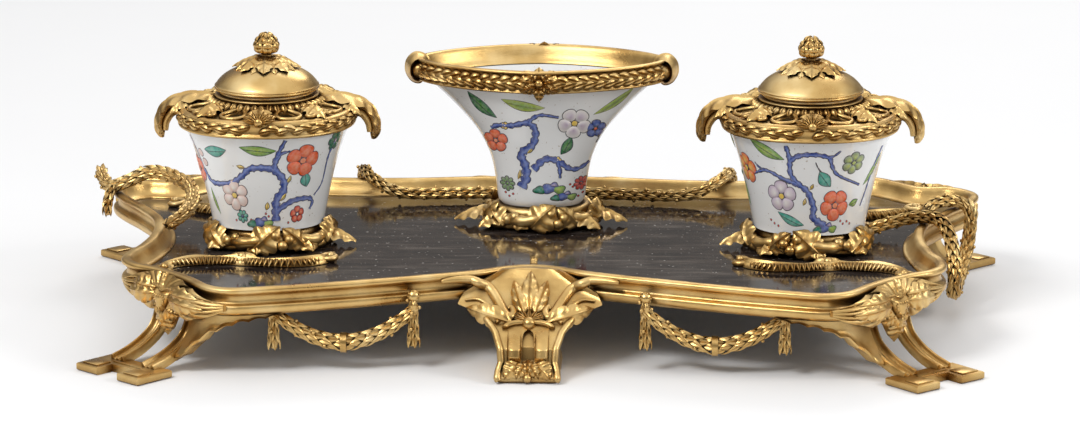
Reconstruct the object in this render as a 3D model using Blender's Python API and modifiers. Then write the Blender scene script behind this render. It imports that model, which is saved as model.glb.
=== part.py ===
"""Desk inkstand: a gilt bronze tray with a lacquered top on six feet, two lidded
porcelain ink cups and an open flared porcelain vessel, hung with laurel garlands.

Metres, +Z up, front towards -Y, left and right as the writer sees them.
The origin lies on the table under the middle of the feet.
"""
import math

import bmesh
import bpy
from mathutils import Matrix, Vector

# Fits
clearance = 0.0003
overrun = 0.002
merge_distance = 0.000001
tube_resolution = 1

# Tray
tray_half_length = 0.1843
tray_half_depth = 0.107
leg_height = 0.025
frame_height = 0.011
moulding_width = 0.0085
ledge_width = 0.0022
ledge_thickness = 0.0017
panel_thickness = 0.0025
lip_height = 0.0005
outline_turn_degrees = 21.0
outline_span = 0.040
fine_steps = 12
bolt_hole_radius = 0.0024

# Half of the tray's plan, right side, front centre to back centre: shares of the half sizes
half_outline_shares = (
    (0.000, -0.589), (0.054, -0.617), (0.119, -0.687), (0.243, -0.776), (0.405, -0.879),
    (0.541, -0.953), (0.627, -0.986), (0.686, -0.944), (0.730, -0.832), (0.768, -0.748),
    (0.816, -0.668), (0.865, -0.607), (0.892, -0.523), (0.890, -0.411), (0.870, -0.280),
    (0.857, -0.075), (0.870, 0.140), (0.919, 0.336), (0.973, 0.505), (0.995, 0.598),
    (1.000, 0.692), (0.976, 0.771), (0.932, 0.818), (0.873, 0.813), (0.827, 0.897),
    (0.778, 0.972), (0.714, 0.991), (0.622, 0.935), (0.497, 0.893), (0.324, 0.897),
    (0.162, 0.935), (0.000, 0.953),
)
front_corner_index = 9
back_corner_index = 23

# Frame section, outer side: shares of moulding width (inwards) and frame height (upwards)
frame_outer_shares = (
    (0.30, 1.00), (0.08, 1.00), (0.00, 0.82), (0.25, 0.58),
    (0.24, 0.44), (0.02, 0.32), (0.02, 0.14), (0.22, 0.00),
)
frame_inner_shares = ((0.62, 0.68),)

# Corner legs
front_leg_degrees = 48.7
front_leg_reach = 0.0255
back_leg_degrees = 45.0
back_leg_reach = 0.0195
slab_length = 0.036
slab_depth = 0.018
slab_thickness = 0.003
slab_block_length = 0.012
slab_notch_depth = 0.008
strut_spacing = 0.018
strut_half_width = 0.0038
strut_half_thickness = 0.0023
strut_setback = 0.0045
strut_path_shares = (
    (0.00, 1.00, 1.35), (0.01, 0.82, 1.05), (0.07, 0.64, 0.95), (0.20, 0.46, 0.90),
    (0.42, 0.31, 0.90), (0.70, 0.19, 0.90), (1.00, 0.12, 0.85),
)
strut_section_shares = (
    (-1.0, -1.0), (1.0, -1.0), (1.0, 0.7), (0.7, 1.0), (0.45, 0.45), (-0.45, 0.45),
    (-0.7, 1.0), (-1.0, 0.7),
)
wing_thickness = 0.0040
wing_inset = 0.0022
wing_sweep = 0.0075
wing_start = 0.0113
wing_end = 0.0580
# Under edge of the wing that arches from a strut to the frame: place along it, height share
wing_shares = ((0.00, 0.12), (0.12, 0.24), (0.22, 0.44), (0.36, 0.68), (0.60, 0.86), (1.00, 0.96))
wing_rows = 3

# Corner cartouches
cartouche_front_width = 0.036
cartouche_side_width = 0.026
cartouche_thickness = 0.0020
cartouche_bulge = 0.0052
cartouche_drop = 0.0120
cartouche_rise = 0.0006
cartouche_rows = 6
cartouche_top_shares = (0.45, 0.62, 0.80, 0.92, 1.00, 1.00, 1.00, 0.92, 0.80, 0.62, 0.45)
cartouche_drop_shares = (-0.20, 0.05, 0.22, 0.40, 0.34, 1.00, 0.34, 0.40, 0.22, 0.05, -0.20)
cartouche_bulge_shares = (0.05, 0.30, 0.55, 0.45, 0.80, 1.00, 0.80, 0.45, 0.55, 0.30, 0.05)
cartouche_profile_shares = (0.10, 0.55, 0.95, 0.70, 0.95, 0.55, 0.10)

# Centre feet
foot_front_reach = 0.0425
foot_back_reach = 0.013
foot_half_width = 0.0125
foot_depth = 0.012
foot_wing_half_width = 0.031
foot_flute_depth = 0.0012
foot_columns = 8
foot_level_shares = (
    (0.00, 0.86, 0.97), (0.06, 1.00, 1.00), (0.16, 1.02, 0.99), (0.34, 0.98, 0.86),
    (0.50, 1.22, 0.68), (0.62, 1.62, 0.52),
)
foot_wing_shares = ((0.685, 1.00, 0.40), (0.78, 0.86, 0.27), (0.90, 0.62, 0.12), (1.00, 0.36, 0.04))
foot_front_rise = 0.001

# Vessel mounts: low dishes of leaves, twigs and berries
inkwell_x_share = 0.60228
inkwell_y = 0.0026
vessel_y = 0.0400
mount_height = 0.0092
mount_dish_radius = 0.0245
mount_seat_radius = 0.0190
mount_leaf_thickness = 0.0016
mount_leaf_width = 0.0130
mount_twig_radius = 0.0017
mount_berry_radius = 0.0024
# Leaves of an inkwell mount: direction in degrees (0 towards the centre vessel), reach share
inkwell_leaf_shares = ((-8.0, 1.52), (-48.0, 1.26), (-95.0, 1.20), (-140.0, 1.24), (168.0, 1.08),
                       (70.0, 1.20))
vessel_leaf_shares = ((-4.0, 1.62), (-38.0, 1.42), (-72.0, 1.16), (-112.0, 1.14), (-146.0, 1.40),
                      (-178.0, 1.64), (90.0, 1.20))
mount_berry_angles = (-66.0, -74.0, -118.0)
mount_leaf_shares = (0.60, 0.38, 0.66, 0.97)

# Ink cups, round in plan with four slight corners
cup_height = 0.0417
cup_rim_radius = 0.0342
cup_foot_radius = 0.0232
cup_wall = 0.0026
cup_floor = 0.0032
cup_corner_share = 0.04
cup_flare_shares = ((0.03, 0.00), (0.30, 0.20), (0.65, 0.53), (1.00, 1.00))
cup_segments = 20

# Pierced collars
collar_skirt_height = 0.0013
collar_skirt_wall = 0.0018
collar_band_height = 0.0064
collar_band_bulge = 0.0012
collar_neck_height = 0.0109
collar_neck_radius = 0.0206
collar_bore_radius = 0.0178
collar_shell = 0.0016
collar_opening_count = 8
collar_opening_length = 0.0098
collar_opening_width = 0.0086
hook_radius = 0.0028
hook_reach = 0.0056

# Ink liners and lids
liner_gap = 0.0005
liner_wall = 0.0008
liner_floor_gap = 0.0015
liner_flange_thickness = 0.0010
liner_flange_overlap = 0.0018
lid_radius = 0.0215
lid_brim_height = 0.0024
lid_dome_height = 0.0078
lid_wall = 0.0013
lid_spigot_depth = 0.0012
turned_segments = 18
leaf_cap_radius = 0.0140
leaf_cap_height = 0.0038
leaf_cap_lobes = 8
# Section of the leaf cap: reach and height shares, and how deep the scallops cut
leaf_cap_shares = (
    (0.24, 0.375, 0.0), (0.45, 0.40, 0.0), (0.80, 0.175, 0.08), (1.00, -0.21, 0.14),
    (0.96, -0.31, 0.14), (0.76, 0.01, 0.08), (0.24, 0.01, 0.0),
)
finial_height = 0.0130
finial_radius = 0.0054

# Centre vessel: heights and half widths and half depths as shares of the rim's
vessel_height = 0.0530
vessel_rim_half_width = 0.0486
vessel_rim_half_depth = 0.0275
vessel_wall = 0.0026
vessel_floor = 0.0034
vessel_segments = 24
vessel_shares = (
    (0.00, 0.350, 0.50, 2.3), (0.04, 0.375, 0.54, 2.3), (0.24, 0.405, 0.57, 2.2),
    (0.42, 0.460, 0.62, 2.1), (0.60, 0.570, 0.71, 1.9), (0.80, 0.765, 0.85, 1.7),
    (1.00, 1.000, 1.00, 1.6),
)
rim_collar_height = 0.0098
rim_collar_skirt = 0.0018
rim_collar_width = 0.0044

# Fixing bolts and nuts
bolt_radius = 0.0018
bolt_head_radius = 0.0045
bolt_head_height = 0.0018
bolt_segments = 12
nut_radius = 0.0046
nut_height = 0.0030
nut_bore_radius = 0.0021
bolt_end = 0.0008

# Garlands
garland_radius = 0.0044
garland_tail_length = 0.0155
garland_drop = 0.0126
garland_hang_share = 0.10
garland_outer_x_share = 0.5426
garland_inner_x_share = 0.2469
garland_standoff = 0.0012
garland_segments = 10
boss_radius = 0.0024

# Scrolls and crest on the panel
scroll_half_width = 0.0036
scroll_height = 0.0042
# Route of a scroll, from the corner inwards: shares of half length, half depth, width, height
front_scroll_shares = (
    (0.815, -0.540, 0.35, 0.40), (0.800, -0.430, 0.75, 0.70), (0.750, -0.365, 0.95, 0.95),
    (0.690, -0.345, 0.70, 0.75), (0.640, -0.355, 1.20, 1.00), (0.590, -0.370, 0.70, 0.70),
    (0.520, -0.375, 0.95, 0.90), (0.470, -0.330, 1.00, 0.90), (0.455, -0.280, 0.40, 0.45),
)
back_scroll_shares = (
    (0.855, 0.640, 0.35, 0.40), (0.820, 0.560, 0.75, 0.70), (0.765, 0.500, 0.95, 0.95),
    (0.700, 0.480, 0.70, 0.75), (0.645, 0.500, 1.20, 1.00), (0.590, 0.520, 0.70, 0.70),
    (0.560, 0.510, 0.40, 0.45),
)
scroll_section_shares = ((-1.0, 0.0), (-0.75, 0.70), (0.0, 1.0), (0.75, 0.70), (1.0, 0.0))
crest_half_width = 0.0100
crest_length = 0.0160
crest_height = 0.0052
crest_shares = (
    (0.0, 0.9, 0.75), (0.25, 1.0, 1.0), (0.55, 0.6, 0.8), (0.75, 0.42, 0.55), (0.88, 0.55, 0.75),
    (1.0, 0.25, 0.35),
)
crest_section_shares = (
    (-1.0, 0.0), (-0.75, 0.65), (-0.3, 0.8), (0.0, 1.0), (0.3, 0.8), (0.75, 0.65), (1.0, 0.0),
)

# Places and heights that follow from the sizes above
inkwell_x = tray_half_length * inkwell_x_share
garland_outer_x = tray_half_length * garland_outer_x_share
garland_inner_x = tray_half_length * garland_inner_x_share
frame_top = leg_height + frame_height
panel_bottom = leg_height + ledge_thickness + clearance
panel_top = panel_bottom + panel_thickness
mount_bottom = panel_top + clearance
mount_top = mount_bottom + mount_height
cup_bottom = mount_top + clearance
cup_top = cup_bottom + cup_height
collar_seat = cup_top + clearance
collar_neck_top = collar_seat + collar_neck_height
liner_bottom = cup_bottom + cup_floor + clearance + bolt_head_height + liner_floor_gap
liner_top = collar_neck_top + clearance + liner_flange_thickness
liner_radius = collar_bore_radius - liner_gap
lid_bottom = liner_top + clearance
lid_top = lid_bottom + lid_brim_height + lid_dome_height
vessel_top = cup_bottom + vessel_height

parts = None
guides = None


def start_scene():
    """Empty the scene and make one collection for the parts and one for cutters."""
    for old in list(bpy.data.objects):
        bpy.data.objects.remove(old)
    model = bpy.data.collections.new("desk_inkstand")
    helpers = bpy.data.collections.new("cutters")
    bpy.context.scene.collection.children.link(model)
    bpy.context.scene.collection.children.link(helpers)
    return model, helpers


def material(name, colour, roughness, metallic):
    """A plain surface finish."""
    made = bpy.data.materials.new(name)
    made.use_nodes = True
    shader = made.node_tree.nodes["Principled BSDF"]
    shader.inputs["Base Color"].default_value = (*colour, 1.0)
    shader.inputs["Roughness"].default_value = roughness
    shader.inputs["Metallic"].default_value = metallic
    return made


def mesh_of(name, points, faces):
    """A mesh from points and faces, with its faces turned outwards."""
    mesh = bpy.data.meshes.new(name)
    mesh.from_pydata([tuple(p) for p in points], [], faces)
    work = bmesh.new()
    work.from_mesh(mesh)
    bmesh.ops.recalc_face_normals(work, faces=work.faces)
    work.to_mesh(mesh)
    work.free()
    return mesh


def place(name, mesh, finish, location=(0.0, 0.0, 0.0), turn=0.0):
    """Put a mesh in the model as a part."""
    part = bpy.data.objects.new(name, mesh)
    if not mesh.materials:
        mesh.materials.append(finish)
    part.location = location
    part.rotation_euler = (0.0, 0.0, turn)
    mesh.shade_smooth()
    mesh.set_sharp_from_angle(angle=math.radians(40.0))
    parts.objects.link(part)
    return part


def helper(name, mesh):
    """A cutter or a shape to be joined, left out of the model."""
    made = bpy.data.objects.new(name, mesh)
    made.display_type = "WIRE"
    made.hide_render = True
    guides.objects.link(made)
    return made


def combined(name, base_mesh, meshes, operation):
    """Join or cut the base with all the other meshes at once."""
    base = helper(name + "_base", base_mesh)
    group = bpy.data.collections.new(name + "_group")
    guides.children.link(group)
    tools = []
    for number, mesh in enumerate(meshes):
        tool = bpy.data.objects.new(f"{name}_tool_{number}", mesh)
        tool.display_type = "WIRE"
        tool.hide_render = True
        group.objects.link(tool)
        tools.append(tool)
    change = base.modifiers.new("combine", "BOOLEAN")
    change.operation = operation
    change.operand_type = "COLLECTION"
    change.collection = group
    change.solver = "EXACT"
    result = evaluated_mesh(base, name)
    for used in tools + [base]:
        bpy.data.objects.remove(used)
    guides.children.unlink(group)
    bpy.data.collections.remove(group)
    return result


def evaluated_mesh(source, name):
    """The mesh of an object with its modifiers applied and doubles merged."""
    bpy.context.view_layer.update()
    graph = bpy.context.evaluated_depsgraph_get()
    mesh = bpy.data.meshes.new_from_object(source.evaluated_get(graph))
    mesh.name = name
    work = bmesh.new()
    work.from_mesh(mesh)
    bmesh.ops.remove_doubles(work, verts=work.verts, dist=merge_distance)
    bmesh.ops.dissolve_degenerate(work, edges=work.edges, dist=merge_distance)
    loose = [edge for edge in work.edges if not edge.link_faces]
    bmesh.ops.delete(work, geom=loose, context="EDGES")
    bmesh.ops.recalc_face_normals(work, faces=work.faces)
    work.to_mesh(mesh)
    work.free()
    return mesh


def ring_loft(name, rings, wrap=False):
    """A closed solid through rings of equal count: capped at both ends, or wrapped round."""
    count = len(rings[0])
    points = [p for ring in rings for p in ring]
    faces = []
    last = len(rings) if wrap else len(rings) - 1
    for level in range(last):
        following = (level + 1) % len(rings)
        for i in range(count):
            j = (i + 1) % count
            a, b = level * count + i, level * count + j
            c, d = following * count + j, following * count + i
            faces.append((a, b, c, d))
    if not wrap:
        faces.append(tuple(range(count))[::-1])
        faces.append(tuple((len(rings) - 1) * count + i for i in range(count)))
    return mesh_of(name, points, faces)


def turned(name, profile, segments):
    """A turned solid: the profile runs from the axis at the top down the outside."""
    mesh = bpy.data.meshes.new(name + "_profile")
    edges = [(i, i + 1) for i in range(len(profile) - 1)]
    mesh.from_pydata([(r, 0.0, z) for r, z in profile], edges, [])
    spun = helper(name + "_spin", mesh)
    screw = spun.modifiers.new("turn", "SCREW")
    screw.steps = segments
    screw.render_steps = segments
    screw.use_merge_vertices = True
    screw.merge_threshold = merge_distance
    result = evaluated_mesh(spun, name)
    bpy.data.objects.remove(spun)
    return result


def tube(name, path, radius, shares):
    """A solid tube along points, its radius following the shares."""
    curve = bpy.data.curves.new(name + "_curve", "CURVE")
    curve.dimensions = "3D"
    curve.bevel_depth = radius
    curve.bevel_resolution = tube_resolution
    curve.use_fill_caps = True
    spline = curve.splines.new("POLY")
    spline.points.add(len(path) - 1)
    for knot, point, share in zip(spline.points, path, shares):
        knot.co = (*point, 1.0)
        knot.radius = share
    rod = bpy.data.objects.new(name + "_rod", curve)
    rod.hide_render = True
    rod.display_type = "WIRE"
    guides.objects.link(rod)
    result = evaluated_mesh(rod, name)
    bpy.data.objects.remove(rod)
    bpy.data.curves.remove(curve)
    return result


def catmull(before, start, end, after, t):
    """A point on the smooth curve that passes through its control points."""
    value = []
    for p, q, r, s in zip(before, start, end, after):
        value.append(0.5 * (2 * q + (r - p) * t + (2 * p - 5 * q + 4 * r - s) * t * t
                            + (3 * q - p - 3 * r + s) * t ** 3))
    return tuple(value)


def half_outline(knots):
    """Points along the smooth half outline, closer where it turns more, with the corner places."""
    fine = []
    marks = {}
    for i in range(len(knots) - 1):
        before = knots[i - 1] if i else (-knots[1][0], knots[1][1])
        after = knots[i + 2] if i + 2 < len(knots) else (-knots[i][0], knots[i][1])
        marks[len(fine)] = i
        for k in range(fine_steps):
            fine.append(catmull(before, knots[i], knots[i + 1], after, k / fine_steps))
    fine.append(knots[-1])
    chosen = [fine[0]]
    corners_at = []
    used = 0.0
    for i in range(1, len(fine) - 1):
        here = Vector(fine[i])
        arrive, leave = here - Vector(fine[i - 1]), Vector(fine[i + 1]) - here
        used += arrive.length / outline_span
        used += abs(arrive.angle_signed(leave)) / math.radians(outline_turn_degrees)
        corner = marks.get(i) in (front_corner_index, back_corner_index)
        if used >= 1.0 or corner:
            if corner:
                corners_at.append(len(chosen))
            chosen.append(fine[i])
            used = 0.0
    chosen.append(fine[-1])
    return chosen, corners_at


def tray_outline():
    """The tray's outer edge in plan, counter-clockwise from the front centre."""
    knots = [(x * tray_half_length, y * tray_half_depth) for x, y in half_outline_shares]
    right, corners_at = half_outline(knots)
    left = [(-x, y) for x, y in reversed(right[1:-1])]
    return right + left, len(right), corners_at


outline, half_count, corner_indices = tray_outline()


def outline_normals():
    """Inward normals at the outline's points, smoothed so that insets keep clear in tight bends."""
    count = len(outline)
    normals = []
    for i in range(count):
        here = Vector(outline[i])
        arrive = (here - Vector(outline[i - 1])).normalized()
        leave = (Vector(outline[(i + 1) % count]) - here).normalized()
        along = (arrive + leave).normalized()
        normals.append(Vector((-along.y, along.x)))
    return [(normals[i - 1] + 3 * normals[i] + normals[(i + 1) % count]).normalized()
            for i in range(count)]


inward = outline_normals()


def offset_ring(inset, height):
    """The outline moved inwards by the inset, at a height."""
    return [(p[0] + n.x * inset, p[1] + n.y * inset, height) for p, n in zip(outline, inward)]


def outline_walk(index, distance):
    """The outline's point and inward normal at an arc distance from one of its points."""
    step = 1 if distance >= 0 else -1
    left = abs(distance)
    here = index % len(outline)
    while True:
        ahead = (here + step) % len(outline)
        span = (Vector(outline[ahead]) - Vector(outline[here])).length
        if span >= left:
            share = left / span
            point = Vector(outline[here]).lerp(Vector(outline[ahead]), share)
            return point, inward[here].lerp(inward[ahead], share).normalized()
        left -= span
        here = ahead


def edge_y(x, side):
    """The outline's y at an x near the front (side -1) or back (side 1) centre."""
    right = outline[:half_count]
    if side > 0:
        right = right[::-1]
    wanted = abs(x)
    for first, second in zip(right, right[1:]):
        if first[0] <= wanted <= second[0]:
            share = (wanted - first[0]) / (second[0] - first[0])
            return first[1] + share * (second[1] - first[1])
    return right[0][1]


def tray_frame(finish):
    """The cast moulding round the tray, with the rebate that the panel lies in."""
    section = [(a * moulding_width, leg_height + b * frame_height) for a, b in frame_outer_shares]
    inner = moulding_width + ledge_width
    section.append((inner, leg_height))
    section.append((inner, leg_height + ledge_thickness))
    section.append((moulding_width, leg_height + ledge_thickness))
    section.append((moulding_width, panel_top + lip_height))
    section += [(a * moulding_width, leg_height + b * frame_height) for a, b in frame_inner_shares]
    rings = [offset_ring(inset, height) for inset, height in section]
    place("tray_frame", ring_loft("tray_frame", rings, wrap=True), finish)


def lacquer_panel(finish):
    """The lacquered board, with holes for the three fixing bolts."""
    edge = moulding_width + clearance
    board = ring_loft("board", [offset_ring(edge, panel_bottom), offset_ring(edge, panel_top)])
    holes = []
    for x, y in ((-inkwell_x, inkwell_y), (inkwell_x, inkwell_y), (0.0, vessel_y)):
        rings = []
        for height in (panel_bottom - overrun, panel_top + overrun):
            rings.append(round_ring(bolt_hole_radius, height, bolt_segments, (x, y)))
        holes.append(ring_loft("hole", rings))
    place("lacquer_panel", combined("lacquer_panel", board, holes, "DIFFERENCE"), finish)


def round_ring(radius, height, segments, centre=(0.0, 0.0)):
    """A ring of points round a centre."""
    turn = 2 * math.pi / segments
    return [(centre[0] + radius * math.cos(turn * i), centre[1] + radius * math.sin(turn * i), height)
            for i in range(segments)]


def corner_place(side_x, side_y):
    """A corner's anchor on the outline, its index there and the leg's direction."""
    index = corner_indices[0] if side_y < 0 else corner_indices[1]
    if side_x < 0:
        index = len(outline) - index
    angle = math.radians(front_leg_degrees if side_y < 0 else back_leg_degrees)
    return outline[index], index, Vector((side_x * math.cos(angle), side_y * math.sin(angle)))


def centre_step(side_x, side_y):
    """The step along the outline that leads from a corner towards the front or back centre."""
    return -side_x if side_y < 0 else side_x


def leg_slab_and_struts(anchor, direction, reach_out):
    """The key-pattern foot slab and the two fluted struts that sweep out to it."""
    outer = reach_out + slab_depth / 2
    inner = reach_out - slab_depth / 2
    half = slab_length / 2
    notch = half - slab_block_length
    depth = outer - slab_notch_depth
    aside = Vector((-direction.y, direction.x))
    plan = [(outer, -half), (outer, -notch), (depth, -notch), (depth, notch), (outer, notch),
            (outer, half), (inner, half), (inner, -half)]

    def spot(u, v, z):
        flat = anchor + direction * u + aside * v
        return (flat.x, flat.y, z)

    slab = ring_loft("slab", [[spot(u, v, 0.0) for u, v in plan],
                              [spot(u, v, slab_thickness) for u, v in plan]])
    top = leg_height - clearance
    run = reach_out - slab_depth / 4 + strut_setback
    path = [(a * run - strut_setback, b * top, c) for a, b, c in strut_path_shares]
    struts = []
    for side in (-1, 1):
        rings = []
        for i, (u, z, width) in enumerate(path):
            before, after = path[max(i - 1, 0)], path[min(i + 1, len(path) - 1)]
            along = Vector((after[0] - before[0], after[1] - before[1])).normalized()
            if i == 0:
                along = Vector((0.0, -1.0))
            across = Vector((-along.y, along.x))
            ring = []
            for v, n in strut_section_shares:
                reach = n * strut_half_thickness * width
                ring.append(spot(u + across.x * reach, side * strut_spacing / 2 + v * strut_half_width * width,
                                 z + across.y * reach))
            rings.append(ring)
        struts.append(ring_loft("strut", rings))
    return slab, struts


def leg_wing(index, step):
    """The arch that spreads from a strut along the underside of the frame."""
    top = leg_height - clearance
    backs, fronts = [], []
    for row in range(wing_rows + 1):
        for along, height_share in wing_shares:
            distance = wing_start + (wing_end - wing_start) * along
            point, normal = outline_walk(index, step * distance)
            low = leg_height * height_share
            height = top + (low - top) * row / wing_rows
            fall = (top - height) / top
            front = point + normal * (wing_inset - wing_sweep * fall * fall * 2)
            back = front + normal * wing_thickness
            fronts.append((front.x, front.y, height))
            backs.append((back.x, back.y, height))
    return plate_mesh("wing", backs, fronts, len(wing_shares))


def corner_legs(finish):
    """The four corner legs, each cast in one piece."""
    for name, side_x, side_y in corners():
        anchor, index, direction = corner_place(side_x, side_y)
        reach_out = front_leg_reach if side_y < 0 else back_leg_reach
        slab, struts = leg_slab_and_struts(Vector(anchor), direction, reach_out)
        wing = leg_wing(index, centre_step(side_x, side_y))
        place("leg_" + name, combined("leg_" + name, slab, struts + [wing], "UNION"), finish)


def corners():
    """Names and signs of the four corners."""
    return (("front_left", -1, -1), ("front_right", 1, -1), ("back_left", -1, 1), ("back_right", 1, 1))


def share_between(shares, position):
    """The value at a position from 0 to 1 along evenly spaced shares."""
    place_at = min(max(position, 0.0), 1.0) * (len(shares) - 1)
    first = min(int(place_at), len(shares) - 2)
    return shares[first] + (shares[first + 1] - shares[first]) * (place_at - first)


def corner_columns(index, long_step):
    """The outline's points near a corner, each with its place from 0 to 1 across the cartouche."""
    columns = [(0.5, index)]
    for step in (-1, 1):
        here, walked = index, 0.0
        width = cartouche_front_width if step == long_step else cartouche_side_width
        run = []
        while True:
            ahead = (here + step) % len(outline)
            walked += (Vector(outline[ahead]) - Vector(outline[here])).length
            if walked > width:
                break
            here = ahead
            run.append((walked, here))
        columns += [(0.5 + 0.5 * step * walked / run[-1][0], at) for walked, at in run]
    return sorted(columns)


def cartouche(name, side_x, side_y, finish):
    """A leaf shell with a boss, lying against the frame's canted corner."""
    _, index, direction = corner_place(side_x, side_y)
    columns = corner_columns(index, centre_step(side_x, side_y))
    backs, fronts = [], []
    for row in range(cartouche_rows + 1):
        fall = row / cartouche_rows
        for across, at in columns:
            top = leg_height + (frame_height + cartouche_rise) * share_between(cartouche_top_shares, across)
            bottom = leg_height - cartouche_drop * share_between(cartouche_drop_shares, across)
            height = top + (bottom - top) * fall
            back = Vector(outline[at]) - inward[at] * clearance
            swell = cartouche_profile_shares[row] * share_between(cartouche_bulge_shares, across)
            out = (direction * 2 - inward[at]).normalized() * (cartouche_thickness + cartouche_bulge * swell)
            backs.append((back.x, back.y, height))
            fronts.append((back.x + out.x, back.y + out.y, height))
    place("cartouche_" + name, plate_mesh("cartouche", backs, fronts, len(columns)), finish)


def plate_mesh(name, backs, fronts, width):
    """A closed plate between a back grid and a front grid of equal size."""
    rows = len(backs) // width
    shift = len(backs)
    faces = []
    for r in range(rows - 1):
        for c in range(width - 1):
            a, b = r * width + c, r * width + c + 1
            d, e = a + width, b + width
            faces.append((a, b, e, d))
            faces.append((a + shift, d + shift, e + shift, b + shift))
    border = [c for c in range(width)]
    border += [r * width + width - 1 for r in range(1, rows)]
    border += [(rows - 1) * width + c for c in range(width - 2, -1, -1)]
    border += [r * width for r in range(rows - 2, 0, -1)]
    for a, b in zip(border, border[1:] + border[:1]):
        faces.append((a, b, b + shift, a + shift))
    return mesh_of(name, backs + fronts, faces)


def centre_foot(name, side, reach, finish):
    """A console foot that flares into the frieze at the tray's front or back centre."""
    root = edge_y(0.0, side)
    sweep = reach
    rings = []
    levels = [(h * frame_top, w * foot_half_width, f) for h, w, f in foot_level_shares]
    levels += [(h * (frame_top + foot_front_rise), w * foot_wing_half_width, f)
               for h, w, f in foot_wing_shares]
    for height, half, share in levels:
        front, back = [], []
        for column in range(foot_columns + 1):
            across = 2 * column / foot_columns - 1
            x = across * half
            edge = edge_y(x, side) + side * clearance
            flute = foot_flute_depth * math.cos(across * math.pi * 3)
            middle = root + side * (sweep * share + foot_depth * 0.25)
            shoulder = edge + side * foot_depth * 0.22
            blend = across * across
            face = middle * (1 - blend) + blend * (max(middle, shoulder) if side > 0
                                                   else min(middle, shoulder))
            if height > leg_height:
                face = middle * (1 - blend ** 0.5) + shoulder * blend ** 0.5
                face = max(face, shoulder) if side > 0 else min(face, shoulder)
            front.append((x, face + side * flute, height))
            if height > leg_height - clearance:
                rear = edge
            else:
                rear = root + side * (sweep * share - foot_depth * (1 - 0.25))
                limit = edge_y(x, side) + side * (clearance + sweep * share * 0.2)
                rear = min(rear, limit) if side < 0 else max(rear, limit)
            back.append((x, rear, height))
        rings.append(front + back[::-1])
    place(name, ring_loft(name, rings), finish)


def leaf_mesh(name, length, width, thickness, start, heading, heights):
    """A pointed leaf solid from a start point along a heading, following the heights."""
    stations = len(heights) - 1
    backs, fronts = [], []
    side = Vector((-heading.y, heading.x, 0.0))
    for i, height in enumerate(heights):
        t = i / stations
        half = width / 2 * max(math.sin(math.pi * min(0.18 + 0.82 * t, 0.985)), 0.10)
        spine = start + heading * (length * t)
        for across in (-1.0, 0.0, 1.0):
            low = spine + side * (half * across)
            crease = thickness * 0.6 * (1 - abs(across))
            backs.append((low.x, low.y, height))
            fronts.append((low.x, low.y, height + thickness + crease))
    return plate_mesh(name, backs, fronts, 3)


def base_mount(name, centre, leaves, mirror, oval, finish):
    """A dish of leaves, twigs and berries that a porcelain vessel sits in."""
    low, high = mount_bottom, mount_top
    seat_drop = mount_height * 0.12
    profile = [(bolt_hole_radius, high - seat_drop * 2), (mount_seat_radius * 0.8, high - seat_drop * 2),
               (mount_seat_radius, high), (mount_dish_radius * 0.9, high - seat_drop),
               (mount_dish_radius, high - mount_height * 0.45), (mount_dish_radius * 0.86, low),
               (bolt_hole_radius, low)]
    rings = []
    for radius, height in profile:
        stretch = oval if radius > bolt_hole_radius else (1.0, 1.0)
        rings.append([(x * stretch[0], y * stretch[1], z)
                      for x, y, z in round_ring(radius, height, turned_segments // 2)])
    dish = ring_loft(name + "_dish", rings, wrap=True)
    extras = []
    for angle, reach in leaves:
        turn = math.radians(angle)
        heading = Vector((mirror * math.cos(turn), math.sin(turn), 0.0))
        begin = mount_dish_radius * 0.62
        start = Vector((heading.x * begin * oval[0], heading.y * begin * oval[1], 0.0))
        length = mount_dish_radius * reach - begin
        heights = [high - mount_height * s for s in mount_leaf_shares]
        extras.append(leaf_mesh(name + "_leaf", length, mount_leaf_width, mount_leaf_thickness,
                                start, heading, heights))
    for angle in mount_berry_angles:
        turn = math.radians(angle)
        reach = mount_dish_radius * 0.98
        spot = Vector((mirror * math.cos(turn) * reach * oval[0], math.sin(turn) * reach * oval[1],
                       high - mount_height * 0.38))
        extras.append(ball_mesh(name + "_berry", mount_berry_radius, spot))
    twig = []
    for share in (0.0, 0.25, 0.5, 0.75, 1.0):
        turn = math.radians(-165.0 + 150.0 * share)
        reach = mount_dish_radius * (1.02 + 0.06 * math.sin(share * math.pi * 3))
        twig.append((mirror * math.cos(turn) * reach * oval[0], math.sin(turn) * reach * oval[1],
                     low + mount_height * (0.55 + 0.12 * math.cos(share * math.pi * 4))))
    extras.append(tube(name + "_twig", twig, mount_twig_radius, (0.8, 1.0, 1.1, 1.0, 0.8)))
    place(name, combined(name, dish, extras, "UNION"), finish, (centre[0], centre[1], 0.0))


def ball_mesh(name, radius, centre):
    """A small ball."""
    mesh = bpy.data.meshes.new(name)
    work = bmesh.new()
    bmesh.ops.create_icosphere(work, subdivisions=1, radius=radius, matrix=Matrix.Translation(centre))
    work.to_mesh(mesh)
    work.free()
    return mesh


def cup_ring(radius, height, corner_share=cup_corner_share):
    """A ring of the ink cup's plan: a circle with four slight corners."""
    ring = []
    for i in range(cup_segments):
        angle = 2 * math.pi * (i + 0.5) / cup_segments
        reach = radius * (1 + corner_share / 2 * (1 - math.cos(4 * angle)))
        ring.append((reach * math.cos(angle), reach * math.sin(angle), height))
    return ring


def cup_radius(share):
    """The cup's outer radius at a share of its height."""
    spread = cup_rim_radius - cup_foot_radius
    previous = cup_flare_shares[0]
    for level, flare in cup_flare_shares:
        if share <= level:
            span = max(level - previous[0], clearance)
            part_way = (share - previous[0]) / span if share > previous[0] else 0.0
            return cup_foot_radius + spread * (previous[1] + (flare - previous[1]) * part_way)
        previous = (level, flare)
    return cup_rim_radius


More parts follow.
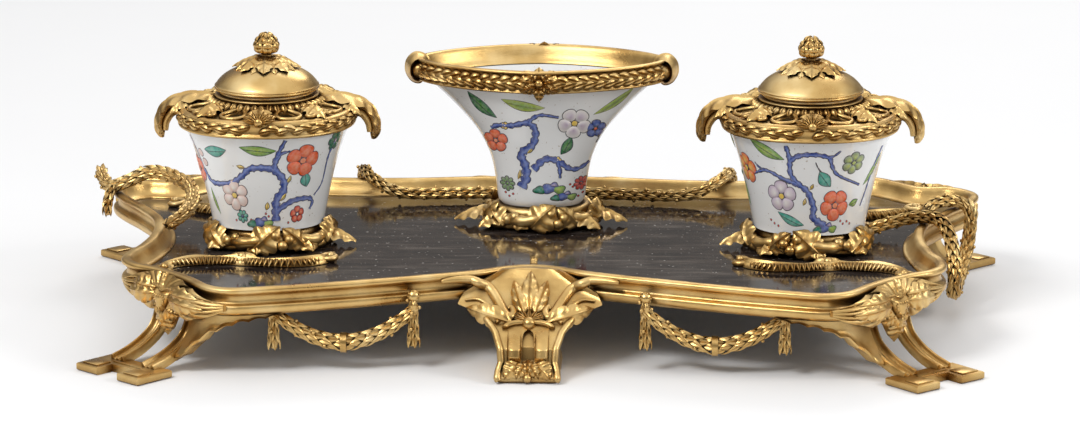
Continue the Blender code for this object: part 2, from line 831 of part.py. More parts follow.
def ink_cup(name, centre, finish):
    """A flared porcelain cup with a bolt hole in its floor."""
    rings = [cup_ring(bolt_hole_radius, cup_bottom, 0.0)]
    rings.append(cup_ring(cup_foot_radius - cup_wall / 2, cup_bottom))
    for level, _ in cup_flare_shares:
        rings.append(cup_ring(cup_radius(level), cup_bottom + level * cup_height))
    for level, _ in reversed(cup_flare_shares[1:]):
        rings.append(cup_ring(cup_radius(level) - cup_wall, cup_bottom + level * cup_height))
    floor = cup_bottom + cup_floor
    rings.append(cup_ring(cup_foot_radius - cup_wall, floor))
    rings.append(cup_ring(bolt_hole_radius, floor, 0.0))
    place(name, ring_loft(name, rings, wrap=True), finish, (centre[0], centre[1], 0.0))


def pierced_collar(name, centre, finish):
    """The cup's bronze collar: laurel band, pierced shoulder, neck and two leaf hooks."""
    inner = cup_rim_radius + clearance
    outer = cup_rim_radius + collar_skirt_wall
    skirt = collar_seat - collar_skirt_height
    band = collar_seat + collar_band_height - collar_skirt_height
    neck = collar_neck_top
    rise = neck - band
    middle = (inner + collar_neck_radius) / 2
    corner = cup_corner_share
    profile = [
        (inner, skirt, corner), (outer, skirt, corner),
        (outer + collar_band_bulge, skirt + collar_band_height * 0.35, corner),
        (outer + collar_band_bulge * 0.8, skirt + collar_band_height * 0.75, corner),
        (outer - collar_band_bulge, band, corner),
        (middle, band + rise * 0.22, corner / 4),
        (collar_neck_radius + collar_shell * 0.7, band + rise * 0.40, 0.0),
        (collar_neck_radius, neck, 0.0), (collar_bore_radius, neck, 0.0),
        (collar_bore_radius, band + rise * 0.40 - collar_shell, 0.0),
        (middle, band + rise * 0.22 - collar_shell, corner / 4),
        (inner - collar_shell * 2, band - collar_shell, corner),
        (inner - collar_shell * 1.6, collar_seat, corner), (inner, collar_seat, corner),
    ]
    rings = [cup_ring(radius, height, corner_share) for radius, height, corner_share in profile]
    shell = ring_loft(name + "_shell", rings, wrap=True)
    cutters = []
    for i in range(collar_opening_count):
        angle = 2 * math.pi * (i + 0.5) / collar_opening_count
        cutters.append(opening_cutter(name + "_cut", angle, middle - collar_shell / 2, band))
    pierced = combined(name + "_pierced", shell, cutters, "DIFFERENCE")
    hooks = []
    for side in (-1, 1):
        start = outer - collar_shell
        path = [(side * start, 0.0, band - hook_radius * 0.4),
                (side * (start + hook_reach * 0.75), 0.0, band + hook_radius * 0.9),
                (side * (start + hook_reach * 1.35), 0.0, band - hook_radius * 0.9),
                (side * (start + hook_reach * 1.50), 0.0, skirt - hook_radius * 0.2),
                (side * (start + hook_reach * 1.20), 0.0, skirt - hook_radius * 1.2)]
        hooks.append(tube(name + "_hook", path, hook_radius, (1.1, 1.2, 1.0, 0.8, 0.55)))
    place(name, combined(name, pierced, hooks, "UNION"), finish, (centre[0], centre[1], 0.0))


def opening_cutter(name, angle, middle, band):
    """An egg-shaped cutter that stands upright through the collar's shoulder."""
    rings = []
    along = Vector((math.cos(angle), math.sin(angle)))
    across = Vector((-along.y, along.x))
    for height in (band - collar_neck_height, band + collar_neck_height):
        ring = []
        for i in range(6):
            turn = 2 * math.pi * i / 6
            reach = middle + collar_opening_length / 2 * math.cos(turn)
            aside = collar_opening_width / 2 * math.sin(turn) * (1 + 0.20 * math.cos(turn))
            spot = along * reach + across * aside
            ring.append((spot.x, spot.y, height))
        rings.append(ring)
    return ring_loft(name, rings)


def ink_liner(name, centre, finish):
    """The removable ink pan that hangs in the collar's neck by its flange."""
    flange = collar_bore_radius + liner_flange_overlap
    under = collar_neck_top + clearance
    inner = liner_radius - liner_wall
    profile = [(0.0, liner_bottom + liner_wall), (inner, liner_bottom + liner_wall), (inner, liner_top),
               (flange, liner_top), (flange, under), (liner_radius, under), (liner_radius, liner_bottom),
               (0.0, liner_bottom)]
    place(name, turned(name, profile, turned_segments), finish, (centre[0], centre[1], 0.0))


def lid(name, centre, finish):
    """The domed lid with a brim and a spigot that enters the liner."""
    brim = lid_bottom + lid_brim_height
    spigot = liner_radius - liner_wall - clearance
    profile = [
        (0.0, lid_top), (lid_radius * 0.35, lid_top - lid_dome_height * 0.04),
        (lid_radius * 0.62, lid_top - lid_dome_height * 0.20),
        (lid_radius * 0.80, lid_top - lid_dome_height * 0.48),
        (lid_radius * 0.88, brim + lid_dome_height * 0.20), (lid_radius * 0.93, brim),
        (lid_radius, lid_bottom + lid_brim_height * 0.6), (lid_radius, lid_bottom + lid_brim_height * 0.2),
        (lid_radius * 0.96, lid_bottom), (spigot, lid_bottom),
        (spigot, lid_bottom - lid_spigot_depth), (spigot - lid_wall, lid_bottom - lid_spigot_depth),
        (spigot - lid_wall, brim - lid_wall), (lid_radius * 0.48, lid_top - lid_dome_height * 0.34),
        (0.0, lid_top - lid_wall - lid_dome_height * 0.05),
    ]
    return place(name, turned(name, profile, turned_segments), finish, (centre[0], centre[1], 0.0))


def leaf_cap(name, centre, finish):
    """The ring of leaves that lies on the lid's crown round the finial."""
    segments = leaf_cap_lobes * 2
    rings = []
    rise = lid_top + clearance
    for reach, lift, scallop in leaf_cap_shares:
        ring = []
        for i in range(segments):
            angle = 2 * math.pi * i / segments
            radius = leaf_cap_radius * reach * (1 - scallop * (i % 2))
            ring.append((radius * math.cos(angle), radius * math.sin(angle), rise + leaf_cap_height * lift))
        rings.append(ring)
    place(name, ring_loft(name, rings, wrap=True), finish, (centre[0], centre[1], 0.0))


def finial(name, centre, finish):
    """The bud on its neck, with a spigot through the leaf cap."""
    base = lid_top + clearance
    top = base + finial_height
    neck = leaf_cap_radius * 0.24 - clearance
    profile = [
        (0.0, top), (finial_radius * 0.30, top - finial_height * 0.04),
        (finial_radius * 0.78, top - finial_height * 0.20), (finial_radius, top - finial_height * 0.38),
        (finial_radius * 0.80, top - finial_height * 0.55), (finial_radius * 0.42, top - finial_height * 0.64),
        (finial_radius * 0.50, top - finial_height * 0.72), (neck, top - finial_height * 0.80),
        (neck, base), (0.0, base),
    ]
    place(name, turned(name, profile, turned_segments // 2), finish, (centre[0], centre[1], 0.0))


def oval_ring(half_width, half_depth, exponent, height, segments=vessel_segments):
    """A ring between a lozenge (exponent 1) and an ellipse (2) or a soft box (above 2)."""
    ring = []
    for i in range(segments):
        angle = 2 * math.pi * i / segments
        c, s = math.cos(angle), math.sin(angle)
        x = math.copysign(abs(c) ** (2 / exponent), c) * half_width
        y = math.copysign(abs(s) ** (2 / exponent), s) * half_depth
        ring.append((x, y, height))
    return ring


def flared_vessel(name, centre, finish):
    """The centre vessel, swelling from an oval foot to a long pointed rim."""
    rings = [oval_ring(bolt_hole_radius, bolt_hole_radius, 2.0, cup_bottom)]
    for level, width, depth, exponent in vessel_shares:
        rings.append(oval_ring(width * vessel_rim_half_width, depth * vessel_rim_half_depth, exponent,
                               cup_bottom + level * vessel_height))
    for level, width, depth, exponent in reversed(vessel_shares[2:]):
        rings.append(oval_ring(width * vessel_rim_half_width - vessel_wall,
                               depth * vessel_rim_half_depth - vessel_wall, exponent,
                               cup_bottom + level * vessel_height))
    floor = cup_bottom + vessel_floor
    _, width, depth, exponent = vessel_shares[1]
    rings.append(oval_ring(width * vessel_rim_half_width - vessel_wall,
                           depth * vessel_rim_half_depth - vessel_wall, exponent, floor))
    rings.append(oval_ring(bolt_hole_radius, bolt_hole_radius, 2.0, floor))
    place(name, ring_loft(name, rings, wrap=True), finish, (centre[0], centre[1], 0.0))


def rim_collar(name, centre, finish):
    """The laurel rim that clasps the centre vessel's edge, with curled ends."""
    seat = vessel_top + clearance
    low = vessel_top - rim_collar_skirt
    top = low + rim_collar_height
    grow = rim_collar_width
    section = ((clearance, low), (grow * 0.55, low), (grow * 0.95, low + rim_collar_height * 0.35),
               (grow, low + rim_collar_height * 0.75), (grow * 0.75, top), (grow * 0.35, top),
               (-vessel_wall * 0.5, low + rim_collar_height * 0.6), (-vessel_wall, seat),
               (clearance, seat))
    exponent = vessel_shares[-1][3]
    rings = [oval_ring(vessel_rim_half_width + out, vessel_rim_half_depth + out, exponent, height)
             for out, height in section]
    shell = ring_loft(name + "_shell", rings, wrap=True)
    curls = []
    for side in (-1, 1):
        start = side * (vessel_rim_half_width + grow * 0.4)
        path = [(start, 0.0, top - hook_radius), (start + side * hook_reach * 0.45, 0.0, top - hook_radius * 1.6),
                (start + side * hook_reach * 0.55, 0.0, low + hook_radius),
                (start + side * hook_reach * 0.15, 0.0, low - hook_radius * 0.5)]
        curls.append(tube(name + "_curl", path, hook_radius, (0.9, 1.0, 0.9, 0.6)))
    place(name, combined(name, shell, curls, "UNION"), finish, (centre[0], centre[1], 0.0))


def fixing_bolt(name, centre, floor, finish):
    """The bolt that holds a vessel and its mount down to the panel."""
    head = floor + clearance
    profile = [(0.0, head + bolt_head_height), (bolt_head_radius, head + bolt_head_height),
               (bolt_head_radius, head), (bolt_radius, head),
               (bolt_radius, panel_bottom - clearance - nut_height - bolt_end),
               (0.0, panel_bottom - clearance - nut_height - bolt_end)]
    place(name, turned(name, profile, bolt_segments), finish, (centre[0], centre[1], 0.0))


def nut(name, centre, finish):
    """The hexagon nut under the panel."""
    top = panel_bottom - clearance
    low = top - nut_height
    body = ring_loft("nut_body", [round_ring(nut_radius, low, 6), round_ring(nut_radius, top, 6)])
    bore = ring_loft("nut_bore", [round_ring(nut_bore_radius, low - overrun, bolt_segments),
                                  round_ring(nut_bore_radius, top + overrun, bolt_segments)])
    place(name, combined(name, body, [bore], "DIFFERENCE"), finish, (centre[0], centre[1], 0.0))


def hanging_garland(name, start, end, finish):
    """A laurel swag between two points with a tail of leaves under each."""
    sag_line = []
    for i in range(garland_segments + 1):
        t = i / garland_segments
        x = start[0] + (end[0] - start[0]) * t
        y = start[1] + (end[1] - start[1]) * t
        sag_line.append((x, y, start[2] - garland_drop * 4 * t * (1 - t)))
    swell = [0.55 + 0.45 * math.sin(math.pi * i / garland_segments) for i in range(garland_segments + 1)]
    swag = tube(name + "_swag", sag_line, garland_radius, swell)
    tails = []
    for x, y, z in (start, end):
        drop = [(x, y, z + garland_radius * 0.6), (x, y, z - garland_tail_length * 0.2),
                (x, y, z - garland_tail_length * 0.75), (x, y, z - garland_tail_length)]
        tails.append(tube(name + "_tail", drop, garland_radius, (0.5, 0.42, 0.78, 0.55)))
    place(name, combined(name, swag, tails, "UNION"), finish)


def front_garlands(bronze):
    """Two swags hung under the front moulding, each from two bosses."""
    height = leg_height - frame_height * garland_hang_share
    for side, word in ((-1, "left"), (1, "right")):
        ends = []
        for x, place_word in ((garland_outer_x, "outer"), (garland_inner_x, "inner")):
            face = edge_y(x, -1) - clearance * 3
            depth = garland_radius * 0.6 + garland_standoff
            ends.append((side * x, face - depth, height))
            boss_z = height + garland_radius * 0.6 + clearance + boss_radius
            reach = [(side * x, face, boss_z), (side * x, face - depth, boss_z),
                     (side * x, face - depth * 1.4, boss_z)]
            place(f"boss_{word}_{place_word}", tube("boss", reach, boss_radius, (1.0, 1.0, 0.5)), bronze)
        hanging_garland("garland_front_" + word, ends[0], ends[1], bronze)


# Routes of the garlands laid over the rim, chosen by hand: shares of half length, half depth, frame top
right_garland_shares = (
    (0.735, 0.150, 0.94), (0.790, 0.185, 0.99), (0.850, 0.165, 1.070), (0.895, 0.100, 1.075),
    (0.918, 0.020, 0.90), (0.926, -0.040, 0.55), (0.926, -0.010, 0.32), (0.938, 0.140, 0.32),
    (0.957, 0.270, 0.50), (0.970, 0.350, 0.74), (0.972, 0.390, 1.00), (0.945, 0.420, 1.078),
    (0.900, 0.400, 1.090), (0.870, 0.370, 1.00),
)
left_garland_shares = (
    (-0.820, -0.090, 1.08), (-0.800, 0.020, 1.10), (-0.785, 0.200, 1.14), (-0.800, 0.360, 1.21),
    (-0.850, 0.480, 1.28), (-0.905, 0.550, 1.27), (-0.955, 0.560, 1.16), (-1.000, 0.590, 1.066),
    (-1.035, 0.700, 1.14), (-1.045, 0.790, 1.22),
)
left_garland_tail_shares = (
    (-0.992, 0.575, 1.085), (-1.004, 0.540, 1.00), (-1.010, 0.500, 0.86), (-1.005, 0.470, 0.76),
)
back_garland_shares = (
    (-0.434, 0.955, 0.60), (-0.434, 0.950, 0.98), (-0.426, 0.880, 1.097), (-0.400, 0.780, 1.06),
    (-0.330, 0.705, 0.94), (-0.180, 0.725, 0.93), (0.000, 0.760, 0.92), (0.180, 0.725, 0.93),
    (0.330, 0.705, 0.94), (0.400, 0.780, 1.06), (0.426, 0.880, 1.097), (0.434, 0.950, 0.98),
    (0.434, 0.955, 0.60),
)


def garland_tube(name, shares):
    """A tube along a route of shares, thickest in the middle."""
    path = [(x * tray_half_length, y * tray_half_depth, z * frame_top) for x, y, z in shares]
    swell = [0.50 + 0.20 * math.sin(math.pi * i / (len(path) - 1)) for i in range(len(path))]
    return tube(name, path, garland_radius, swell)


def laid_garlands(finish):
    """The laurel garlands laid over the rim at the sides and the back."""
    place("garland_right", garland_tube("garland_right", right_garland_shares), finish)
    arch = garland_tube("garland_arch", left_garland_shares)
    tail = garland_tube("garland_tail", left_garland_tail_shares)
    place("garland_left", combined("garland_left", arch, [tail], "UNION"), finish)
    place("garland_back", garland_tube("garland_back", back_garland_shares), finish)


def corner_scroll(name, side_x, side_y, finish):
    """A leafy C-scroll lying on the panel, from a corner to the front of an ink cup."""
    base = panel_top + clearance
    table = front_scroll_shares if side_y < 0 else back_scroll_shares
    route = [Vector((side_x * x * tray_half_length, y * tray_half_depth)) for x, y, _, _ in table]
    rings = []
    for i, (_, _, width, tall) in enumerate(table):
        along = (route[min(i + 1, len(route) - 1)] - route[max(i - 1, 0)]).normalized()
        across = Vector((-along.y, along.x))
        ring = []
        for aside, up in scroll_section_shares:
            spot = route[i] + across * (scroll_half_width * width * aside)
            ring.append((spot.x, spot.y, base + scroll_height * tall * up))
        rings.append(ring)
    place(name, ring_loft(name, rings), finish)


def crest(name, side, finish):
    """A small shell of leaves lying on the panel behind the centre foot."""
    start = edge_y(0.0, side) - side * (moulding_width * 1.25 + clearance)
    base = panel_top + clearance
    rings = []
    for reach, half, tall in crest_shares:
        y = start - side * crest_length * reach
        ring = []
        for aside, up in crest_section_shares:
            ring.append((crest_half_width * half * aside, y, base + crest_height * tall * up))
        rings.append(ring)
    place(name, ring_loft(name, rings), finish)


def inkwell(word, side, bronze, porcelain, liner_metal, iron):
    """One ink cup with its mount, collar, liner and lid."""
    centre = (side * inkwell_x, inkwell_y)
    base_mount("mount_" + word, centre, inkwell_leaf_shares, -side, (1.0, 1.0), bronze)
    ink_cup("cup_" + word, centre, porcelain)
    pierced_collar("collar_" + word, centre, bronze)
    ink_liner("liner_" + word, centre, liner_metal)
    lid("lid_" + word, centre, bronze)
    leaf_cap("lid_leaves_" + word, centre, bronze)
    finial("finial_" + word, centre, bronze)
    fixing_bolt("bolt_" + word, centre, cup_bottom + cup_floor, iron)
    nut("nut_" + word, centre, iron)


def centre_vessel(bronze, porcelain, iron):
    """The open flared vessel with its mount and rim."""
    centre = (0.0, vessel_y)
    base_mount("mount_centre", centre, vessel_leaf_shares, 1, (0.92, 0.80), bronze)
    flared_vessel("vessel_centre", centre, porcelain)
    rim_collar("collar_centre", centre, bronze)
    fixing_bolt("bolt_centre", centre, cup_bottom + vessel_floor, iron)
    nut("nut_centre", centre, iron)


parts, guides = start_scene()
gilt_bronze = material("gilt_bronze", (0.72, 0.50, 0.20), 0.32, 1.0)
glazed_porcelain = material("glazed_porcelain", (0.86, 0.86, 0.84), 0.12, 0.0)
black_lacquer = material("black_lacquer", (0.035, 0.028, 0.026), 0.12, 0.0)
liner_gilding = material("liner_gilding", (0.66, 0.50, 0.26), 0.38, 1.0)
bolt_iron = material("bolt_iron", (0.20, 0.19, 0.18), 0.55, 1.0)

tray_frame(gilt_bronze)
lacquer_panel(black_lacquer)
corner_legs(gilt_bronze)
for corner_name, corner_x, corner_y in corners():
    cartouche(corner_name, corner_x, corner_y, gilt_bronze)
    corner_scroll("scroll_" + corner_name, corner_x, corner_y, gilt_bronze)
centre_foot("centre_foot_front", -1, foot_front_reach, gilt_bronze)
centre_foot("centre_foot_back", 1, foot_back_reach, gilt_bronze)
crest("crest_front", -1, gilt_bronze)
front_garlands(gilt_bronze)
laid_garlands(gilt_bronze)
inkwell("left", -1, gilt_bronze, glazed_porcelain, liner_gilding, bolt_iron)
inkwell("right", 1, gilt_bronze, glazed_porcelain, liner_gilding, bolt_iron)
centre_vessel(gilt_bronze, glazed_porcelain, bolt_iron)
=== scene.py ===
"""The looks of a desk inkstand: gilt bronze tray with a lacquered top, porcelain cups and garlands.

Metres, +Z up, front towards -Y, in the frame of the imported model. Each section makes one piece or
one group of like pieces, in the order in which the real object is put together.
"""

import math

import bmesh
import bpy
import numpy as np
from mathutils import Matrix, Vector


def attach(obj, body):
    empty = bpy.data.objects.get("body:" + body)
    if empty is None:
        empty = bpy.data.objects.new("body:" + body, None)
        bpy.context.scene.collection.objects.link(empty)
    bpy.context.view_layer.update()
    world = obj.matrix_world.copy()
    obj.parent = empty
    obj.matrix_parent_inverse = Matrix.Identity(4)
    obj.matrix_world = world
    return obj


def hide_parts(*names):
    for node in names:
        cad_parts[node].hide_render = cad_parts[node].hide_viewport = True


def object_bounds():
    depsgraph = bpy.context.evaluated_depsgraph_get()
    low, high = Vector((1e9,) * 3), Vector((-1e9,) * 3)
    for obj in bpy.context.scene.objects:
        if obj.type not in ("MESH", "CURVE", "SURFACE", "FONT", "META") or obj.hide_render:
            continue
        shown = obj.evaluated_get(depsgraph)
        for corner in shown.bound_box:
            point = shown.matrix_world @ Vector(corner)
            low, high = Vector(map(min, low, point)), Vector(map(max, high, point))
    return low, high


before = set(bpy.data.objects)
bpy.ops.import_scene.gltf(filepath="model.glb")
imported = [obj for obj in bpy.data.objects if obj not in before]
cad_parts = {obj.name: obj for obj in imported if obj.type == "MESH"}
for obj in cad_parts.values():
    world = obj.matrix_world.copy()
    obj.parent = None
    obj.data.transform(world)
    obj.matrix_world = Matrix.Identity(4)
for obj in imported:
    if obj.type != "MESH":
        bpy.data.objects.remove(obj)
cad_box = [[float(value) for value in corner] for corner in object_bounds()]

# Tray frame: one ring cast in bronze, fire gilt. A rounded fillet runs round its top edge, with a
# hollow and a torus below it on the outside and a sloping hollow down to the lacquer inside.
tray_half_length = 0.1843
tray_half_depth = 0.107
frame_bottom = 0.025
frame_height = 0.011
frame_top = frame_bottom + frame_height
moulding_width = 0.0085
plan_points = 720
patina_reach = 0.0045
chasing_depth = 0.00035
left_and_right = (("left", -1), ("right", 1))
half_plan_shares = np.array([
    (0.000, -0.589), (0.054, -0.617), (0.119, -0.687), (0.243, -0.776), (0.405, -0.879),
    (0.541, -0.953), (0.627, -0.986), (0.686, -0.944), (0.730, -0.832), (0.768, -0.748),
    (0.816, -0.668), (0.865, -0.607), (0.892, -0.523), (0.890, -0.411), (0.870, -0.280),
    (0.857, -0.075), (0.870, 0.140), (0.919, 0.336), (0.973, 0.505), (0.995, 0.598),
    (1.000, 0.692), (0.976, 0.771), (0.932, 0.818), (0.873, 0.813), (0.827, 0.897),
    (0.778, 0.972), (0.714, 0.991), (0.622, 0.935), (0.497, 0.893), (0.324, 0.897),
    (0.162, 0.935), (0.000, 0.953)])
moulding_shares = np.array([
    (1.00, 0.46), (0.86, 0.50), (0.72, 0.60), (0.60, 0.76), (0.50, 0.93), (0.36, 1.00),
    (0.14, 1.00), (0.02, 0.94), (0.02, 0.84), (0.12, 0.77), (0.22, 0.70), (0.27, 0.58),
    (0.25, 0.46), (0.16, 0.40), (0.04, 0.36), (0.00, 0.24), (0.04, 0.12), (0.16, 0.03),
    (0.26, 0.00), (0.60, 0.00), (1.24, 0.00), (1.24, 0.15), (1.02, 0.15), (1.02, 0.30)])


def smooth_through(knots, steps, closed=False):
    """A curve through knots: between two knots a cubic whose slope at each knot is half the
    chord from the knot before it to the knot after it."""
    knots = np.asarray(knots, float)
    if closed:
        p = np.concatenate([knots[-1:], knots, knots[:2]])
    else:
        p = np.concatenate([2 * knots[:1] - knots[1:2], knots, 2 * knots[-1:] - knots[-2:-1]])
    t = (np.arange(steps) / steps)[None, :, None]
    a, b, c, d = (p[i:len(p) - 3 + i, None] for i in range(4))
    curve = 0.5 * (2 * b + (c - a) * t + (2 * a - 5 * b + 4 * c - d) * t ** 2
                   + (3 * b - a - 3 * c + d) * t ** 3)
    curve = curve.reshape(-1, knots.shape[1])
    return curve if closed else np.concatenate([curve, knots[-1:]])


def run_along(points):
    """How far along a line each of its points lies."""
    return np.concatenate([[0.0], np.cumsum(np.linalg.norm(np.diff(points, axis=0), axis=1))])


def evenly(points, count, closed=False):
    """The same line with its points at equal distances: each lands where the run along the
    line reaches its share of the whole length."""
    if closed:
        points = np.vstack([points, points[:1]])
    run = run_along(points)
    at = np.linspace(0.0, run[-1], count, endpoint=not closed)
    return np.stack([np.interp(at, run, points[:, k]) for k in range(points.shape[1])], axis=1)


def unit(vectors):
    """Vectors scaled to length one."""
    return vectors / np.maximum(np.linalg.norm(vectors, axis=-1, keepdims=True), 1e-12)


def leftwards(ahead):
    """Directions in a plane, a quarter turn to the left of the given ones."""
    return np.stack([-ahead[:, 1], ahead[:, 0]], axis=1)


def full_turn(count):
    """Angles once round in equal steps, the last one short of the first."""
    return np.linspace(0, 2 * math.pi, count, endpoint=False)


def polar(reach, angle, height):
    """Points at distances from the upright axis, angles round it and heights."""
    return np.stack(np.broadcast_arrays(reach * np.cos(angle), reach * np.sin(angle), height), axis=-1)


def raised(flat_point, height):
    """Points of the plan lifted to heights."""
    height = np.broadcast_to(height, flat_point.shape[:-1])
    return np.concatenate([flat_point, height[..., None]], axis=-1)


def shifted(shells, by):
    """The same shells, moved."""
    return [(points + by, faces) for points, faces in shells]


def skin(grids, around=True, capped=True, looped=False):
    """Points and faces of surfaces given as (surfaces, stations, sides, 3): one four-sided face
    between neighbouring stations and sides, closed around the sides, capped at the end stations
    or looped from the last station to the first."""
    grids = grids if grids.ndim == 4 else grids[None]
    count, rows, sides, _ = grids.shape
    index = np.arange(count * rows * sides).reshape(count, rows, sides)
    here = index if around else index[:, :, :-1]
    beside = np.roll(index, -1, axis=2) if around else index[:, :, 1:]
    if looped:
        low, high = (here, beside), (np.roll(here, -1, axis=1), np.roll(beside, -1, axis=1))
    else:
        low, high = (here[:, :-1], beside[:, :-1]), (here[:, 1:], beside[:, 1:])
    faces = np.stack([low[0], low[1], high[1], high[0]], axis=-1).reshape(-1, 4).tolist()
    if capped and around and not looped:
        faces += index[:, 0, ::-1].tolist() + index[:, -1].tolist()
    return grids.reshape(-1, 3), faces


def shell_mesh(name, shells, edge_degrees=52.0):
    """One mesh from several shells, kept inside the frame's own box, its faces turned outwards and
    shaded smooth up to an angle."""
    points, faces, start = [], [], 0
    for shell_points, shell_faces in shells:
        points.append(np.clip(shell_points, *cad_box))
        faces += [[corner + start for corner in face] for face in shell_faces] if start else shell_faces
        start += len(shell_points)
    mesh = bpy.data.meshes.new(name)
    mesh.from_pydata(np.concatenate(points).tolist(), [], faces)
    work = bmesh.new()
    work.from_mesh(mesh)
    bmesh.ops.recalc_face_normals(work, faces=work.faces)
    work.to_mesh(mesh)
    work.free()
    mesh.shade_smooth()
    mesh.set_sharp_from_angle(angle=math.radians(edge_degrees))
    return mesh


def place_object(name, data):
    """A new object of the scene that shows the data."""
    made = bpy.data.objects.new(name, data)
    bpy.context.scene.collection.objects.link(made)
    return made


def tie(mesh, finish, body, nodes):
    """The mesh with its finish, as a piece that rides on a body and stands for the CAD nodes it hides."""
    made = place_object(mesh.name, mesh)
    mesh.materials.append(finish)
    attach(made, body)
    if nodes:
        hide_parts(*nodes)


def cast(name, shells, node, finish=None, edge_degrees=52.0):
    """A gilt bronze casting that belongs to the inkstand and stands for one CAD node."""
    tie(shell_mesh(name, shells, edge_degrees), finish or cast_gilding, "inkstand", [node])


def surface(name):
    """A new material with its tree: (material, nodes, link function, shader)."""
    made = bpy.data.materials.new(name)
    made.use_nodes = True
    return made, made.node_tree.nodes, made.node_tree.links.new, made.node_tree.nodes["Principled BSDF"]


def settle(node, **values):
    """Sets a node's inputs by their names, with an underscore for each space."""
    for name, value in values.items():
        node.inputs[name.replace("_", " ")].default_value = value


def noise(nodes, link, scale, detail, roughness=0.55, stretch=None):
    """Cloudy noise on the object's own coordinates, stretched along the axes if asked."""
    place = nodes.new("ShaderNodeTexCoord")
    made = nodes.new("ShaderNodeTexNoise")
    settle(made, Scale=scale, Detail=detail, Roughness=roughness)
    source = place.outputs["Object"]
    if stretch:
        mapping = nodes.new("ShaderNodeMapping")
        settle(mapping, Scale=stretch)
        link(source, mapping.inputs["Vector"])
        source = mapping.outputs["Vector"]
    link(source, made.inputs["Vector"])
    return made.outputs["Fac"]


def ramp(nodes, link, source, *stops):
    """Colours laid over a value at the given stops (place, colour)."""
    made = nodes.new("ShaderNodeValToRGB")
    elements = made.color_ramp.elements
    while len(elements) < len(stops):
        elements.new(0.5)
    for element, (place, colour) in zip(elements, stops):
        element.position = place
        element.color = (*colour, 1.0) if len(colour) == 3 else colour
    link(source, made.inputs["Fac"])
    return made.outputs["Color"]


def spread(nodes, link, source, low, high, first=0.35, last=0.65):
    """A value moved from the span first to last onto the span low to high."""
    made = nodes.new("ShaderNodeMapRange")
    settle(made, From_Min=first, From_Max=last, To_Min=low, To_Max=high)
    link(source, made.inputs["Value"])
    return made.outputs["Result"]


def larger(nodes, link, first, second):
    """The larger of two values."""
    made = nodes.new("ShaderNodeMath")
    made.operation = "MAXIMUM"
    link(first, made.inputs[0])
    link(second, made.inputs[1])
    return made.outputs[0]


def blend(nodes, link, factor, first, second, mode="MIX"):
    """Two colours mixed by a factor, each a colour or a socket."""
    made = nodes.new("ShaderNodeMix")
    made.data_type = "RGBA"
    made.blend_type = mode
    for value, label in zip((factor, first, second), ("Factor", "A", "B")):
        socket = made.inputs[label]
        if isinstance(value, bpy.types.NodeSocket):
            link(value, socket)
        elif isinstance(value, tuple):
            socket.default_value = (*value, 1.0)
        else:
            socket.default_value = value
    return made.outputs["Result"]


def grain(nodes, link, shader, height, strength, depth):
    """Fine relief of the surface from a height value."""
    made = nodes.new("ShaderNodeBump")
    settle(made, Strength=strength, Distance=depth)
    link(height, made.inputs["Height"])
    link(made.outputs["Normal"], shader.inputs["Normal"])


def gilding(name, smoothest, roughest, chasing):
    """Fire-gilt bronze: pale gold on what stands proud, brown patina where hollows close in, cloudy
    wear between the two, and the fine tooling of the chaser."""
    made, nodes, link, shader = surface(name)
    hollows = nodes.new("ShaderNodeAmbientOcclusion")
    hollows.samples = 6
    settle(hollows, Distance=patina_reach)
    clouds = noise(nodes, link, 55.0, 5.0)
    fine = noise(nodes, link, 1500.0, 3.0, 0.6)
    toned = ramp(nodes, link, clouds, (0.30, (0.50, 0.295, 0.095)), (0.52, (0.69, 0.46, 0.175)),
                 (0.70, (0.82, 0.61, 0.29)))
    worn = ramp(nodes, link, hollows.outputs["AO"], (0.22, (0.04, 0.04, 0.04)), (0.52, (0.40, 0.40, 0.40)),
                (0.86, (1.0, 1.0, 1.0)))
    mottled = spread(nodes, link, fine, 0.0, 1.0)
    patina = blend(nodes, link, mottled, (0.115, 0.058, 0.020), (0.20, 0.11, 0.04))
    link(blend(nodes, link, worn, patina, toned), shader.inputs["Base Color"])
    link(spread(nodes, link, clouds, smoothest, roughest), shader.inputs["Roughness"])
    settle(shader, Metallic=1.0)
    grain(nodes, link, shader, fine, chasing, chasing_depth)
    return made


def plan_line():
    """The tray's edge in plan, counter-clockwise from the front centre, with its inward directions
    averaged over a few millimetres so that insets stay clear of each other in tight bends."""
    knots = half_plan_shares * (tray_half_length, tray_half_depth)
    knots = np.concatenate([knots, knots[-2:0:-1] * (-1, 1)])
    line = evenly(smooth_through(knots, 16, closed=True), plan_points, closed=True)
    along = np.roll(line, -1, axis=0) - np.roll(line, 1, axis=0)
    across = unit(leftwards(along))
    reach = np.arange(-12, 13)
    weights = np.exp(-(reach / 4.0) ** 2 / 2)
    return line, unit(sum(w * np.roll(across, k, axis=0) for k, w in zip(reach, weights)))


def on_plan(place):
    """The plan's point and inward direction at places counted in plan points, fractions allowed."""
    place = np.asarray(place, float) % plan_points
    first = np.floor(place).astype(int) % plan_points
    share = (place - np.floor(place))[..., None]
    after = (first + 1) % plan_points
    point = plan[first] * (1 - share) + plan[after] * share
    return point, unit(plan_inward[first] * (1 - share) + plan_inward[after] * share)


def inset_rings(shares):
    """The section carried round the plan: each point lies inwards by its first share of the
    moulding's width and up by its second share of the frame's height."""
    flat_point = plan[:, None] + plan_inward[:, None] * (shares[None, :, 0] * moulding_width)[..., None]
    return raised(flat_point, frame_bottom + shares[:, 1] * frame_height)


plan, plan_inward = plan_line()
plan_step = np.linalg.norm(plan[1] - plan[0])
cast_gilding = gilding("cast_gilding", 0.27, 0.45, 0.24)
burnished_gilding = gilding("burnished_gilding", 0.24, 0.36, 0.07)
rings = inset_rings(smooth_through(moulding_shares, 3, closed=True))
cast("tray_moulding", [skin(rings, looped=True)], "tray_frame")

